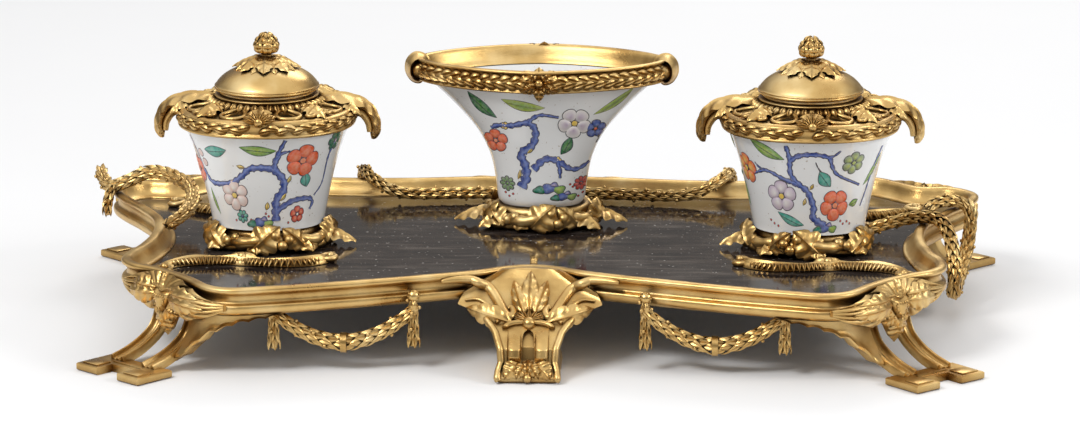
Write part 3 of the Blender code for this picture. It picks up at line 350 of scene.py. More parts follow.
# Lacquered board: a thin wooden panel in black lacquer, polished like a mirror, laid into the
# frame's rebate. It is worn in long faint streaks, with dust and small white chips.
board_bottom = 0.0270
board_top = 0.0295
board_gap = 0.0003


def black_lacquer_finish():
    """Near black brown under a clear polish: streaks along the length, cloudy rubbing and chips."""
    made, nodes, link, shader = surface("black_lacquer")
    streaks = noise(nodes, link, 30.0, 6.0, 0.65, (1.0, 7.0, 1.0))
    rubbed = noise(nodes, link, 22.0, 8.0, 0.7)
    chips = noise(nodes, link, 620.0, 1.0, 0.4)
    body = ramp(nodes, link, streaks, (0.38, (0.014, 0.010, 0.009)), (0.54, (0.040, 0.029, 0.024)),
                (0.70, (0.135, 0.112, 0.095)))
    tired = blend(nodes, link, spread(nodes, link, rubbed, 0.0, 0.7, 0.50, 0.78), body, (0.125, 0.108, 0.094))
    speck = ramp(nodes, link, chips, (0.735, (0.0, 0.0, 0.0)), (0.75, (1.0, 1.0, 1.0)))
    link(blend(nodes, link, speck, tired, (0.42, 0.40, 0.37)), shader.inputs["Base Color"])
    link(spread(nodes, link, rubbed, 0.05, 0.20, 0.40, 0.75), shader.inputs["Roughness"])
    settle(shader, Specular_IOR_Level=0.5)
    grain(nodes, link, shader, streaks, 0.05, 0.0004)
    return made


board_edge = plan + plan_inward * (moulding_width + board_gap)
board = skin(np.stack([raised(board_edge, z) for z in (board_bottom, board_top)]))
board_mesh = shell_mesh("lacquered_board", [board], 30.0)
tie(board_mesh, black_lacquer_finish(), "inkstand", ["lacquer_panel"])

# Corner legs: cast bronze, one at each corner. Two fluted struts sweep from the frame out to a
# slab cut as a Greek key, and a pierced arch spreads from them under the frame.
corner_names = (("front_left", -1, -1), ("front_right", 1, -1), ("back_left", -1, 1), ("back_right", 1, 1))
front_anchor_shares = (0.768, -0.748)
back_anchor_shares = (0.873, 0.813)
leg_degrees = {-1: 48.7, 1: 45.0}
leg_reach = {-1: 0.0255, 1: 0.0195}
slab_length = 0.036
slab_depth = 0.018
slab_thickness = 0.0030
slab_block = 0.012
slab_notch = 0.008
strut_spacing = 0.018
strut_half_width = 0.0038
strut_half_thickness = 0.0023
strut_setback = 0.0045
leg_gap = 0.0002
strut_shares = ((0.00, 1.00, 1.35), (0.01, 0.82, 1.05), (0.07, 0.64, 0.95), (0.20, 0.46, 0.90),
                (0.42, 0.31, 0.90), (0.70, 0.19, 0.92), (1.00, 0.12, 0.90))
strut_section_shares = np.array([
    (-1.0, -0.8), (0.0, -1.0), (1.0, -0.8), (1.02, 0.50), (0.88, 0.98), (0.72, 0.78), (0.58, 0.25),
    (0.30, 0.02), (0.14, 0.34), (-0.14, 0.34), (-0.30, 0.02), (-0.58, 0.25), (-0.72, 0.78), (-0.88, 0.98),
    (-1.02, 0.50)])
arch_shares = ((0.0, 0.12), (0.12, 0.24), (0.22, 0.44), (0.36, 0.68), (0.60, 0.86), (1.0, 0.97))
arch_start = 0.0113
arch_end = 0.0580


def corner_lines(side_x, side_y):
    """A corner's anchor on the tray's edge, the leg's outward direction and its sideways one."""
    shares = front_anchor_shares if side_y < 0 else back_anchor_shares
    anchor = np.array((side_x * shares[0] * tray_half_length, shares[1] * tray_half_depth))
    angle = math.radians(leg_degrees[side_y])
    out = np.array((side_x * math.cos(angle), side_y * math.sin(angle)))
    return anchor, out, np.array((-out[1], out[0]))


def in_corner(corner, along, aside, height):
    """Points at distances out along the leg, aside from it and above the table."""
    anchor, out, side = corner
    along, aside, height = np.broadcast_arrays(along, aside, height)
    return raised(anchor + along[..., None] * out + aside[..., None] * side, height)


def prism(corner, outline_points, levels):
    """An outline in the leg's own plan, stacked through levels of (height, inset towards its middle)."""
    outline_points = np.asarray(outline_points, float)
    middle = (outline_points.max(axis=0) + outline_points.min(axis=0)) / 2
    half = (outline_points.max(axis=0) - outline_points.min(axis=0)) / 2
    rows = []
    for height, inset in levels:
        drawn = middle + (outline_points - middle) * (1 - inset / half)
        rows.append(in_corner(corner, drawn[:, 0], drawn[:, 1], height))
    return skin(np.stack(rows))


def slab_shells(corner, reach):
    """The slab with its bevelled edge, and a raised tablet with a sunk border on each block."""
    outer, inner = reach + slab_depth / 2, reach - slab_depth / 2
    half, notch = slab_length / 2, slab_length / 2 - slab_block
    step = outer - slab_notch
    outline_points = [(outer, -half), (outer, -notch), (step, -notch), (step, notch), (outer, notch),
                      (outer, half), (inner, half), (inner, -half)]
    bevel = 0.0004
    shells = [prism(corner, outline_points, ((0.0, bevel), (bevel, 0.0), (slab_thickness - bevel, 0.0),
                                             (slab_thickness, bevel)))]
    for side in (-1, 1):
        low, high = sorted((side * (half - 0.0018), side * (notch + 0.0018)))
        tablet = [(outer - 0.0018, low), (outer - 0.0018, high), (step - 0.001, high), (step - 0.001, low)]
        shells.append(prism(corner, tablet, ((slab_thickness - bevel, 0.0), (slab_thickness + 0.0004, 0.0),
                                             (slab_thickness + 0.0006, 0.0003))))
    rib = [(step - 0.0022, -notch - 0.002), (step - 0.0022, notch + 0.002), (step - 0.0036, notch + 0.002),
           (step - 0.0036, -notch - 0.002)]
    shells.append(prism(corner, rib, ((slab_thickness - bevel, 0.0), (slab_thickness + 0.0005, 0.0002))))
    return shells


def strut_shells(corner, reach):
    """Two struts: the fluted section carried down a curve, its thickness at right angles to it."""
    run = reach - slab_depth / 4 + strut_setback
    top = frame_bottom - leg_gap
    path = np.array(strut_shares) * (run, top, 1.0) - (strut_setback, 0.0, 0.0)
    path = smooth_through(path, 7)
    ahead = unit(np.gradient(path[:, :2], axis=0))
    section = smooth_through(strut_section_shares, 3, closed=True)
    thick = section[None, :, 1] * strut_half_thickness * path[:, 2:]
    wide = section[None, :, 0] * strut_half_width * path[:, 2:]
    out = path[:, 0:1] - ahead[:, 1:2] * thick
    height = path[:, 1:2] + ahead[:, 0:1] * thick
    return [skin(in_corner(corner, out, side * strut_spacing / 2 + wide, height)) for side in (-1, 1)]


def arch_shell(centre_place, towards):
    """The arch under the frame: a leaf-edged wall whose lower edge rises with the distance from
    the leg, its lip swelling outwards and rolling under."""
    share = np.linspace(0.0, 1.0, 64)
    walked = arch_start + (arch_end - arch_start) * share
    point, inside = on_plan(centre_place + towards * walked / plan_step)
    low = np.interp(share, *np.array(arch_shares).T) * frame_bottom
    low = low + 0.0009 * np.abs(np.sin(share * math.pi * 7))
    top = frame_bottom - leg_gap
    turn = full_turn(20)
    down = (1 - np.cos(turn)) / 2
    height = top + (low - top)[:, None] * down
    fall = (top - height) / top
    lip = 0.0016 * np.exp(-((down - 0.9) / 0.12) ** 2)
    depth = 0.0022 - 0.015 * fall ** 2 - np.where(np.sin(turn) > 0, 1.0, 0.0) * lip
    depth = depth + np.where(np.sin(turn) > 0, 0.0, 0.0040) * np.ones_like(height)
    return skin(raised(point[:, None] + inside[:, None] * depth[..., None], height))


def corner_place(side_x, side_y):
    """Where the corner's anchor lies, counted in plan points."""
    anchor, _, _ = corner_lines(side_x, side_y)
    return int(np.argmin(np.linalg.norm(plan - anchor, axis=1)))


for word, side_x, side_y in corner_names:
    corner = corner_lines(side_x, side_y)
    towards = -side_x if side_y < 0 else side_x
    shells = slab_shells(corner, leg_reach[side_y]) + strut_shells(corner, leg_reach[side_y])
    shells.append(arch_shell(corner_place(side_x, side_y), towards))
    cast("cast_leg_" + word, shells, "leg_" + word, edge_degrees=40.0)

# Corner cartouches: a cast shell at each corner, screwed over the frame's canted corner. It has a
# round boss, flutes that fan out from it, and acanthus leaves that curl off to every side.
cartouche_long = 0.036
cartouche_short = 0.026
cartouche_body = 0.0020
cartouche_bulge = 0.0046
cartouche_drop = 0.0120
cartouche_gap = 0.0003
cartouche_middle = 0.46
boss_share = 0.20
cartouche_top_shares = (0.45, 0.62, 0.80, 0.92, 1.00, 1.00, 1.00, 0.92, 0.80, 0.62, 0.45)
cartouche_drop_shares = (-0.20, 0.05, 0.22, 0.40, 0.34, 1.00, 0.34, 0.40, 0.22, 0.05, -0.20)
cartouche_bulge_shares = (0.05, 0.30, 0.55, 0.50, 0.85, 1.00, 0.85, 0.50, 0.55, 0.30, 0.05)
cartouche_profile_shares = (0.10, 0.55, 0.95, 0.85, 0.95, 0.55, 0.10)
cartouche_flutes = 22


def eased(shares, at):
    """The value at places from 0 to 1 on the smooth curve through evenly spaced shares."""
    curve = smooth_through(np.array(shares, float)[:, None], 8)[:, 0]
    return np.interp(at, np.linspace(0, 1, len(curve)), curve)


def cartouche_root(side_x, side_y, across):
    """The plan's point and inward direction behind a place from 0 to 1 across a cartouche, which
    is longer on the side that turns towards the tray's middle."""
    towards = -side_x if side_y < 0 else side_x
    signed = (across - 0.5) * 2
    walked = np.where(signed * towards > 0, cartouche_long, cartouche_short) * signed
    return on_plan(corner_place(side_x, side_y) + walked / plan_step)


def cartouche_face(side_x, side_y, across, fall):
    """A point of the shell's front and its outward direction: across runs along the tray's edge,
    fall from the top edge to the lower one. It swells by the two profiles, with flutes that fan
    out from the boss and a round boss of its own."""
    point, inside = cartouche_root(side_x, side_y, across)
    _, out, _ = corner_lines(side_x, side_y)
    heading = unit(out * 2 - inside)
    top = frame_bottom + (frame_height + 0.0005) * eased(cartouche_top_shares, across)
    low = frame_bottom - cartouche_drop * eased(cartouche_drop_shares, across)
    x, y = (across - 0.5) * 2.3, (fall - cartouche_middle) * 1.25
    radius, turn = np.hypot(x, y), np.arctan2(y, x)
    swell = eased(cartouche_profile_shares, fall) * eased(cartouche_bulge_shares, across)
    flutes = np.abs(np.cos(turn * cartouche_flutes / 2)) ** 0.7 * np.clip((radius - boss_share) * 4, 0, 1)
    fade = np.clip((1.02 - np.abs(across - 0.5) * 2) * 5, 0, 1)
    boss = 0.0021 * np.sqrt(np.clip(1 - (radius / boss_share) ** 2, 0, 1))
    boss = boss - 0.0008 * np.exp(-((radius - boss_share - 0.03) / 0.03) ** 2)
    reach = cartouche_body + cartouche_bulge * np.clip(swell, 0, 1) + 0.0011 * (flutes - 0.5) * fade + boss
    flat_point = point - inside * cartouche_gap + heading * reach[..., None]
    return raised(flat_point, top + (low - top) * fall), heading


def cartouche_shell(side_x, side_y):
    """The plate: at each place across, its front from top to bottom and its plain back up again."""
    across, fall = np.meshgrid(np.linspace(0, 1, 110), np.linspace(0, 1, 40), indexing="ij")
    front, _ = cartouche_face(side_x, side_y, across, fall)
    point, inside = cartouche_root(side_x, side_y, across)
    back = raised(point - inside * cartouche_gap, front[..., 2])[:, ::-8]
    return skin(np.concatenate([front, back], axis=1))


def leaf_shells(start, tip, rise, width, curl, lobes=0, rows=7, thickness=0.0006, columns=4):
    """Leaves from start to tip, as closed thin bodies: width follows a pointed oval, cut into
    lobes if asked; the spine bows towards rise by curl times the length; the upper side has two
    swelling halves beside a sunk midrib, or a proud midrib with veins that lean to the tip."""
    start, tip, rise = (np.atleast_2d(np.asarray(value, float)) for value in (start, tip, rise))
    width, curl = np.broadcast_to(width, len(start)), np.broadcast_to(curl, len(start))
    t = np.linspace(0.0, 1.0, rows)
    along = tip - start
    length = np.linalg.norm(along, axis=1)
    side = unit(np.cross(along, rise))
    lift = unit(np.cross(side, along))
    half = np.sin(math.pi * np.clip(t, 0.02, 0.985) ** 0.72) ** 0.85
    if lobes:
        half = half * (0.70 + 0.30 * np.abs(np.sin(math.pi * (lobes * t + 0.15))) ** 0.6)
    across = np.linspace(-1, 1, 2 * columns + 1)
    s = np.concatenate([across, [0.6, 0.0, -0.6]])
    wide = width[:, None, None] / 2 * half[None, :, None] * s[None, None, :]
    if lobes:
        top = (0.9 * np.exp(-(across / 0.13) ** 2) + 0.45 * (1 - across ** 2)
               + 0.45 * np.abs(across) * np.cos(2 * math.pi * (lobes * t[:, None] - 0.7 * np.abs(across)))
               - 0.9 * np.abs(across) ** 3)
    else:
        top = 1.15 * np.sin(math.pi * np.clip(np.abs(across), 0.06, 1) ** 0.8)
        top = np.broadcast_to(top, (rows, len(across)))
    under = np.broadcast_to(np.array([-0.7, -0.5, -0.7]), (rows, 3))
    up = np.concatenate([top, under], axis=1) * thickness * (0.25 + 0.75 * half[:, None])
    bow = (curl * length)[:, None] * 4 * (t * (1 - t))[None, :]
    grids = (start[:, None, None] + along[:, None, None] * t[None, :, None, None]
             + lift[:, None, None] * (bow[:, :, None] + up[None])[..., None]
             + side[:, None, None] * wide[..., None])
    return skin(grids)


def ball_shells(centres, radius, rows=9, sides=12):
    """Balls: circles of latitude from pole to pole round each centre."""
    centres = np.atleast_2d(np.asarray(centres, float))
    radius = np.broadcast_to(radius, len(centres))
    fall = np.linspace(0.06, math.pi - 0.06, rows)[:, None]
    shape = polar(np.sin(fall), full_turn(sides), np.cos(fall))
    return skin(centres[:, None, None] + shape[None] * radius[:, None, None, None])


def leaf_on_face(side_x, side_y, first, last, width, curl, lobes):
    """An acanthus leaf that lies on a cartouche from one place on its face to another."""
    ends, headings = cartouche_face(side_x, side_y, *np.array((first, last)).T)
    rise = np.append(headings.mean(axis=0), 0.15)
    return leaf_shells(ends[0], ends[1], rise, width, curl, lobes, 36, 0.0011, 7)


# Places on a cartouche, across and down, that each leaf starts from and reaches, width and curl
cartouche_leaves = (
    ((0.50, 0.62), (0.50, 1.06), 0.0105, 0.06), ((0.46, 0.62), (0.36, 0.98), 0.0080, 0.08),
    ((0.54, 0.62), (0.64, 0.98), 0.0080, 0.08), ((0.42, 0.50), (0.10, 0.62), 0.0095, 0.10),
    ((0.58, 0.50), (0.90, 0.62), 0.0095, 0.10), ((0.42, 0.36), (0.14, 0.20), 0.0080, 0.10),
    ((0.58, 0.36), (0.86, 0.20), 0.0080, 0.10), ((0.50, 0.30), (0.50, -0.02), 0.0085, 0.05))

for word, side_x, side_y in corner_names:
    shells = [cartouche_shell(side_x, side_y)]
    for first, last, width, curl in cartouche_leaves:
        shells.append(leaf_on_face(side_x, side_y, first, last, width, curl, 4))
    across = 0.5 + 0.055 * np.cos(full_turn(14))
    fall = cartouche_middle + 0.115 * np.sin(full_turn(14))
    beads, _ = cartouche_face(side_x, side_y, across, fall)
    shells.append(ball_shells(beads, 0.0006, 5, 8))
    cast("shell_cartouche_" + word, shells, "cartouche_" + word)

# Centre feet: a console at the middle of the front and one at the back. Each rises from leaf toes
# past a niche between round pilasters, then spreads into leafy wings under and over the frame.
foot_reach = {-1: 0.0425, 1: 0.013}
foot_shares = np.array([
    (0.000, 0.0108, 0.97), (0.022, 0.0120, 0.99), (0.058, 0.0127, 0.99), (0.12, 0.0124, 0.93),
    (0.20, 0.0112, 0.88), (0.34, 0.0116, 0.84), (0.48, 0.0140, 0.70), (0.60, 0.0185, 0.54),
    (0.69, 0.0285, 0.40), (0.80, 0.0262, 0.25), (0.91, 0.0190, 0.12), (1.00, 0.0110, 0.05)])
foot_body = 0.012
niche_half_width = 0.0024
niche_shares = (0.19, 0.50)
pilaster_middle = 0.0054
pilaster_radius = 0.0027


def edge_line(side, x):
    """The y of the tray's edge at x, near the front (side -1) or back (side 1) centre."""
    near = plan[np.abs(plan[:, 0]) < 0.06]
    near = near[near[:, 1] * side > 0]
    order = np.argsort(near[:, 0])
    return np.interp(x, near[order, 0], near[order, 1])


def foot_face(side, share, across):
    """The console's front at a share of its height and a place from -1 to 1 across it: it stands
    off the tray's edge by the reach, falls back to it at the sides, and carries the niche and the
    two round pilasters beside it."""
    half = np.interp(share, foot_shares[:, 0], foot_shares[:, 1])
    stand = np.interp(share, foot_shares[:, 0], foot_shares[:, 2]) * foot_reach[side]
    x = across * half
    edge = edge_line(side, x) * side + 0.0003
    root = edge_line(side, np.zeros(1))[0] * side
    middle = root + stand + foot_body * 0.25
    shoulder = edge + foot_body * 0.20
    low = middle * (1 - across ** 2) + np.maximum(middle, shoulder) * across ** 2
    high = np.maximum(middle * (1 - across ** 2) + shoulder * across ** 2, shoulder)
    upper = np.clip((share * frame_top - frame_bottom + 0.004) / 0.008, 0, 1)
    face = low * (1 - upper) + high * upper
    bottom, top = niche_shares
    arch = np.clip(1 - ((share - bottom) / (top - bottom)) ** 6, 0, 1) ** 0.5
    inside = (np.abs(x) < niche_half_width * arch) & (share > bottom) & (share < top)
    length = np.clip((share - bottom) * 14, 0, 1) * np.clip((top + 0.01 - share) * 14, 0, 1)
    from_pilaster = (np.abs(x) - pilaster_middle) / pilaster_radius
    round_front = np.sqrt(np.clip(1 - from_pilaster ** 2, 0, 1)) * pilaster_radius * 0.75 * length
    return x, face - 0.0030 * inside + round_front, edge, root + stand


def foot_shell(side):
    """The console as stacked rings: its face from side to side and its back the other way."""
    share, across = np.meshgrid(np.linspace(0, 1, 110), np.linspace(-1, 1, 121), indexing="ij")
    x, face, edge, centre = foot_face(side, share, across)
    deep = np.minimum(centre - foot_body * 0.75, edge + (centre - edge) * 0.25)
    rear = np.where(share * frame_top > frame_bottom - 0.0004, edge, np.minimum(deep, face - 0.002))
    height = share * frame_top
    front = np.stack([x, face * side, height], axis=-1)
    back = np.stack([x, rear * side, height], axis=-1)[:, ::-12]
    return skin(np.concatenate([front, back], axis=1))


def at_foot(side, share, across, proud=0.0):
    """Points on the console's face, standing a little proud of it."""
    share, across = np.broadcast_arrays(np.asarray(share, float), np.asarray(across, float))
    x, face, _, _ = foot_face(side, share, across)
    return np.stack([x, (face + proud) * side, np.maximum(share * frame_top, 0.0012)], axis=-1)


def spiral_shell(centre, axis_x, axis_y, radius, turns, thickness, start=0.0):
    """A volute: a tube on a spiral whose radius shrinks with the angle, in the plane of two axes."""
    share = np.linspace(0, 1, 60)
    turn = start + share * turns * 2 * math.pi
    reach = radius * (1 - 0.86 * share)
    path = np.asarray(centre) + np.outer(reach * np.cos(turn), axis_x)
    path = path + np.outer(reach * np.sin(turn), axis_y)
    out = np.cross(axis_x, axis_y)
    path = path + np.outer(share ** 2 * thickness * 0.8, out)
    return tube_shell(path, thickness * (1 - 0.35 * share), out)


def tube_shell(path, radius, up=(0.0, 0.0, 1.0), sides=10, closed=False):
    """A round section carried along a path; radius may change along it."""
    path = np.asarray(path, float)
    ahead = np.roll(path, -1, axis=0) - np.roll(path, 1, axis=0) if closed else np.gradient(path, axis=0)
    ahead = unit(ahead)
    side = unit(np.cross(ahead, np.asarray(up, float)))
    lift = np.cross(side, ahead)
    turn = full_turn(sides)[:, None]
    radius = np.broadcast_to(radius, len(path))[:, None, None]
    grid = path[:, None] + radius * (side[:, None] * np.cos(turn) + lift[:, None] * np.sin(turn))
    return skin(grid, looped=closed)


# Leaves on a console: start and tip as (share of height, place across), width and curl
foot_leaves = (
    ((0.20, -0.30), (0.00, -0.86), 0.0085, 0.20), ((0.20, 0.30), (0.00, 0.86), 0.0085, 0.20),
    ((0.19, -0.12), (0.00, -0.42), 0.0070, 0.24), ((0.19, 0.12), (0.00, 0.42), 0.0070, 0.24),
    ((0.21, 0.0), (0.03, 0.0), 0.0062, 0.20), ((0.56, -0.42), (0.665, -0.98), 0.0095, 0.14),
    ((0.56, 0.42), (0.665, 0.98), 0.0095, 0.14), ((0.62, -0.10), (0.90, -0.34), 0.0062, 0.14),
    ((0.62, 0.10), (0.90, 0.34), 0.0062, 0.14), ((0.64, 0.0), (0.99, 0.0), 0.0078, 0.12))
# The two mouldings that leave the frame and curl in over the frieze, as (x, height) places
rail_scroll = ((0.0350, 0.0335), (0.0285, 0.0336), (0.0220, 0.0326), (0.0165, 0.0298), (0.0125, 0.0258),
               (0.0096, 0.0225), (0.0074, 0.0216), (0.0062, 0.0230), (0.0072, 0.0244), (0.0084, 0.0238))
flute_route = ((0.0255, 0.0262), (0.0200, 0.0262), (0.0150, 0.0236), (0.0118, 0.0200))
bracket_shares = ((0.03, 0.93), (0.12, 0.92), (0.25, 0.93), (0.40, 0.93), (0.52, 0.92), (0.60, 0.93),
                  (0.655, 0.94))


def over_console(side, places, proud):
    """A smooth route over the console's face, and over the frame's edge beside it, through
    (x, height) places."""
    x, z = smooth_through(places, 10).T
    half = np.interp(z / frame_top, foot_shares[:, 0], foot_shares[:, 1])
    _, face, _, _ = foot_face(side, z / frame_top, np.clip(x / half, -1, 1))
    return np.column_stack([x, (np.maximum(face, edge_line(side, x) * side) + proud) * side, z])


for side, word in ((-1, "front"), (1, "back")):
    outwards = np.array((0.0, side, 0.25))
    shells = [foot_shell(side)]
    for first, last, width, curl in foot_leaves:
        start, tip = at_foot(side, *first, 0.0004), at_foot(side, *last, 0.0006)
        shells.append(leaf_shells(start, tip, outwards, width, curl, 4, 36, 0.0010, 7))
    for turned in (-1, 1):
        route = over_console(side, np.array(rail_scroll) * (turned, 1), 0.0004)
        share = np.linspace(0, 1, len(route))
        shells.append(tube_shell(route, 0.0006 + 0.0015 * np.sin(math.pi * share ** 0.8) ** 0.7, sides=12))
        shares, places = smooth_through(bracket_shares, 8).T
        shells.append(tube_shell(at_foot(side, shares, places * turned, 0.0003), 0.0014, (0.0, side, 0.0)))
        flute = over_console(side, np.array(flute_route) * (turned, 1), 0.0006)
        shells.append(tube_shell(flute, np.linspace(0.0005, 0.0012, len(flute))))
    angle = np.linspace(0.1, math.pi - 0.1, 30)
    hood = at_foot(side, 0.515 + 0.055 * np.sin(angle), 0.60 * np.cos(angle), 0.0010)
    shells.append(tube_shell(hood, 0.0011, (0.0, side, 0.0)))
    angle = np.linspace(0.1, math.pi - 0.1, 9)
    fan = at_foot(side, 0.60 + 0.065 * np.sin(angle), 0.34 * np.cos(angle), 0.0014)
    root = [at_foot(side, 0.57, 0.0, 0.0008)] * 9
    shells.append(leaf_shells(root, fan, outwards, 0.0019, 0.12, rows=9, thickness=0.0009))
    pearls = [at_foot(side, 0.545, 0.0, -0.0004), at_foot(side, 0.055, 0.0, 0.0002)]
    shells.append(ball_shells(pearls, (0.0029, 0.0018)))
    cast("console_" + word, shells, "centre_foot_" + word)

# Crest: leaves that fan out over the lacquer just inside the frame behind the front console, and a bud that
# lies on the lacquer.
crest_start = -0.0532
crest_length = 0.0150


def crest_shells():
    """A fan of acanthus leaves flat on the lacquer, and a bud on a stalk with three small leaves about it."""
    level = board_top + 0.0010
    shells = []
    for turn, length, width in ((-58, 0.0085, 0.0058), (-30, 0.0105, 0.0062), (30, 0.0105, 0.0062),
                                (58, 0.0085, 0.0058)):
        heading = np.array((math.sin(math.radians(turn)), math.cos(math.radians(turn)), 0.0))
        start = np.array((0.0, crest_start, level))
        shells.append(leaf_shells(start, start + heading * length, (0, 0, 1), width, 0.12, 4, 30, 0.0010, 6))
    bud = np.array((0.0, crest_start + crest_length - 0.0036, level + 0.0018))
    stalk = np.linspace((0.0, crest_start, level + 0.0012), bud, 12)
    shells.append(tube_shell(stalk, 0.0011))
    for turn in (-24, 0, 24):
        heading = np.array((math.sin(math.radians(turn)), math.cos(math.radians(turn)), 0.0))
        start, tip = bud - heading * 0.002, bud + heading * 0.0034
        shells.append(leaf_shells(start, tip, (0, 0, 1), 0.0030, 0.22, 0, 9, 0.0010))
    shells.append(ball_shells([bud - (0, 0.0024, 0.0002)], 0.0016))
    return shells


cast("crest_leaves", crest_shells(), "crest_front")

# Front garlands: two laurel swags cast as bundles of leaves and berries, each hung from two round
# bosses pinned to the frame, with a tail of leaves under either end.
garland_radius = 0.0044
garland_height = frame_bottom - frame_height * 0.10
garland_sag = 0.0126
garland_tail = 0.0155
garland_ends = (0.100, 0.0455)
garland_standoff = garland_radius * 0.6 + 0.0012
boss_radius = 0.0024


def laurel_shells(path, radius, leaf_length=0.0058, leaf_width=0.0027, up=(0.0, 0.0, 1.0), round_count=5):
    """A bundle of laurel: whorls of leaves at equal steps along a path, each leaf starting at the
    stem and leaning outwards to the bundle's radius, every other whorl turned by half a step,
    with a berry here and there."""
    path = np.asarray(path, float)
    run = np.linalg.norm(np.diff(path, axis=0), axis=1).sum()
    whorls = max(int(run / (leaf_length * 0.46)), 3)
    line = evenly(np.column_stack([path, np.broadcast_to(radius, len(path))]), whorls + 1)
    stem, size = line[:, :3], line[:, 3]
    ahead = unit(np.gradient(stem, axis=0))
    side = unit(np.cross(ahead, np.asarray(up, float)))
    lift = np.cross(side, ahead)
    every_other = (np.arange(whorls + 1) % 2)[:, None]
    turn = 2 * math.pi * (np.arange(round_count)[None] + 0.5 * every_other) / round_count
    out = side[:, None] * np.cos(turn)[..., None] + lift[:, None] * np.sin(turn)[..., None]
    start = stem[:, None] + out * (size * 0.40)[:, None, None] - ahead[:, None] * leaf_length * 0.3
    tip = stem[:, None] + out * (size * 0.80)[:, None, None] + ahead[:, None] * leaf_length * 0.62
    start, tip, out = (value[:-1].reshape(-1, 3) for value in (start, tip, out))
    scale = np.repeat(np.clip(size[:-1] / garland_radius + 0.25, 0.45, 1.1), round_count)
    shells = [tube_shell(path, np.broadcast_to(radius, len(path)) * 0.50, up, 8)]
    shells.append(leaf_shells(start, tip, out, leaf_width * scale, 0.07, thickness=0.0005, columns=2))
    chosen = np.arange(0, len(start), 7)
    shells.append(ball_shells(start[chosen] + out[chosen] * 0.0016, 0.0008, 5, 8))
    return shells


def edge_boss_shells(x):
    """A round stud with a beaded collar and a domed rosette head."""
    height = garland_height + garland_radius * 0.6 + 0.0003 + boss_radius
    face = edge_line(-1, np.array([x]))[0] - 0.0008
    reach = np.array((0.0, 0.0008, 0.0016, 0.0024, 0.0032, 0.0040, 0.0047, 0.0051))
    size = boss_radius * np.array((0.80, 0.80, 1.00, 1.00, 0.78, 0.86, 0.60, 0.15))
    path = np.column_stack([np.full(8, x), face - reach, np.full(8, height)])
    turn = full_turn(10)
    beads = np.column_stack([x + boss_radius * 0.86 * np.cos(turn), np.full(10, face - 0.0034),
                             height + boss_radius * 0.86 * np.sin(turn)])
    return [tube_shell(path, size, sides=20), ball_shells(beads, 0.0004, 5, 8)]


for word, side in left_and_right:
    hooks = []
    for x, place_word in zip(garland_ends, ("outer", "inner")):
        place_word = f"{word}_{place_word}"
        cast("stud_" + place_word, edge_boss_shells(side * x), "boss_" + place_word, burnished_gilding)
        y = edge_line(-1, np.array([side * x]))[0] - 0.0009 - garland_standoff
        hooks.append(np.array((side * x, y, garland_height)))
    middle = hooks[0] + (hooks[1] - hooks[0]) * 0.5 - (0, 0, garland_sag)
    shells = []
    for hook in hooks:
        t = np.linspace(0, 1, 25)
        line = hook + (middle - hook) * t[:, None] + np.outer(-garland_sag * 0.9 * t * (1 - t), (0, 0, 1.0))
        shells += laurel_shells(line, garland_radius * (0.58 + 0.40 * t))
        tail = hook + np.outer(np.linspace(-0.0022, garland_tail - 0.0012, 20), (0, 0, -1.0))
        size = garland_radius * (0.40 + 0.36 * np.linspace(0, 1, 20) ** 1.5)
        shells += laurel_shells(tail, size, 0.0055, 0.0026, (0, -1, 0))
        knot = hook + np.outer(np.linspace(0.0022, -0.0016, 6), (0, 0, 1.0))
        shells.append(tube_shell(knot, 0.0019, (0, -1, 0), 12))
    binding = middle + np.outer(np.linspace(-0.0012, 0.0012, 5), (1.0, 0, 0))
    shells.append(tube_shell(binding, garland_radius * 0.92, sides=16))
    cast("hung_garland_" + word, shells, "garland_front_" + word)

# Laid garlands: the same laurel, cast in long runs. One crosses the rim at the right, one arches up
# at the left corner, and one lies along the back of the rim with its ends hanging outside.
right_run_shares = np.array([
    (0.742, 0.150, 0.94), (0.790, 0.185, 0.99), (0.850, 0.165, 1.07), (0.895, 0.100, 1.075),
    (0.918, 0.020, 0.90), (0.926, -0.040, 0.55), (0.926, -0.010, 0.32), (0.938, 0.140, 0.32),
    (0.957, 0.270, 0.50), (0.970, 0.350, 0.74), (0.972, 0.390, 1.00), (0.945, 0.420, 1.078),
    (0.900, 0.400, 1.09), (0.875, 0.372, 1.01)])
left_run_shares = np.array([
    (-0.820, -0.080, 1.08), (-0.800, 0.020, 1.10), (-0.785, 0.200, 1.14), (-0.800, 0.360, 1.21),
    (-0.850, 0.480, 1.27), (-0.905, 0.550, 1.27), (-0.955, 0.560, 1.16), (-1.000, 0.590, 1.066),
    (-1.028, 0.690, 1.12), (-1.034, 0.750, 1.17)])
left_tail_shares = np.array([(-0.992, 0.575, 1.085), (-1.000, 0.540, 1.00), (-1.003, 0.500, 0.88),
                             (-1.000, 0.478, 0.80)])
back_run_shares = np.array([
    (-0.434, 0.955, 0.66), (-0.434, 0.950, 0.98), (-0.426, 0.880, 1.097), (-0.400, 0.780, 1.06),
    (-0.330, 0.705, 0.94), (-0.180, 0.725, 0.93), (0.000, 0.760, 0.92), (0.180, 0.725, 0.93),
    (0.330, 0.705, 0.94), (0.400, 0.780, 1.06), (0.426, 0.880, 1.097), (0.434, 0.950, 0.98),
    (0.434, 0.955, 0.66)])


def laid_run(shares, thin=0.62, thick=0.78):
    """Laurel along a route given in shares of the tray's half sizes and the frame's top."""
    path = smooth_through(shares * (tray_half_length, tray_half_depth, frame_top), 6)
    path = evenly(path, len(path))
    size = garland_radius * (thin + (thick - thin) * np.sin(np.linspace(0, math.pi, len(path))))
    return laurel_shells(path, size, 0.0056, 0.0026)


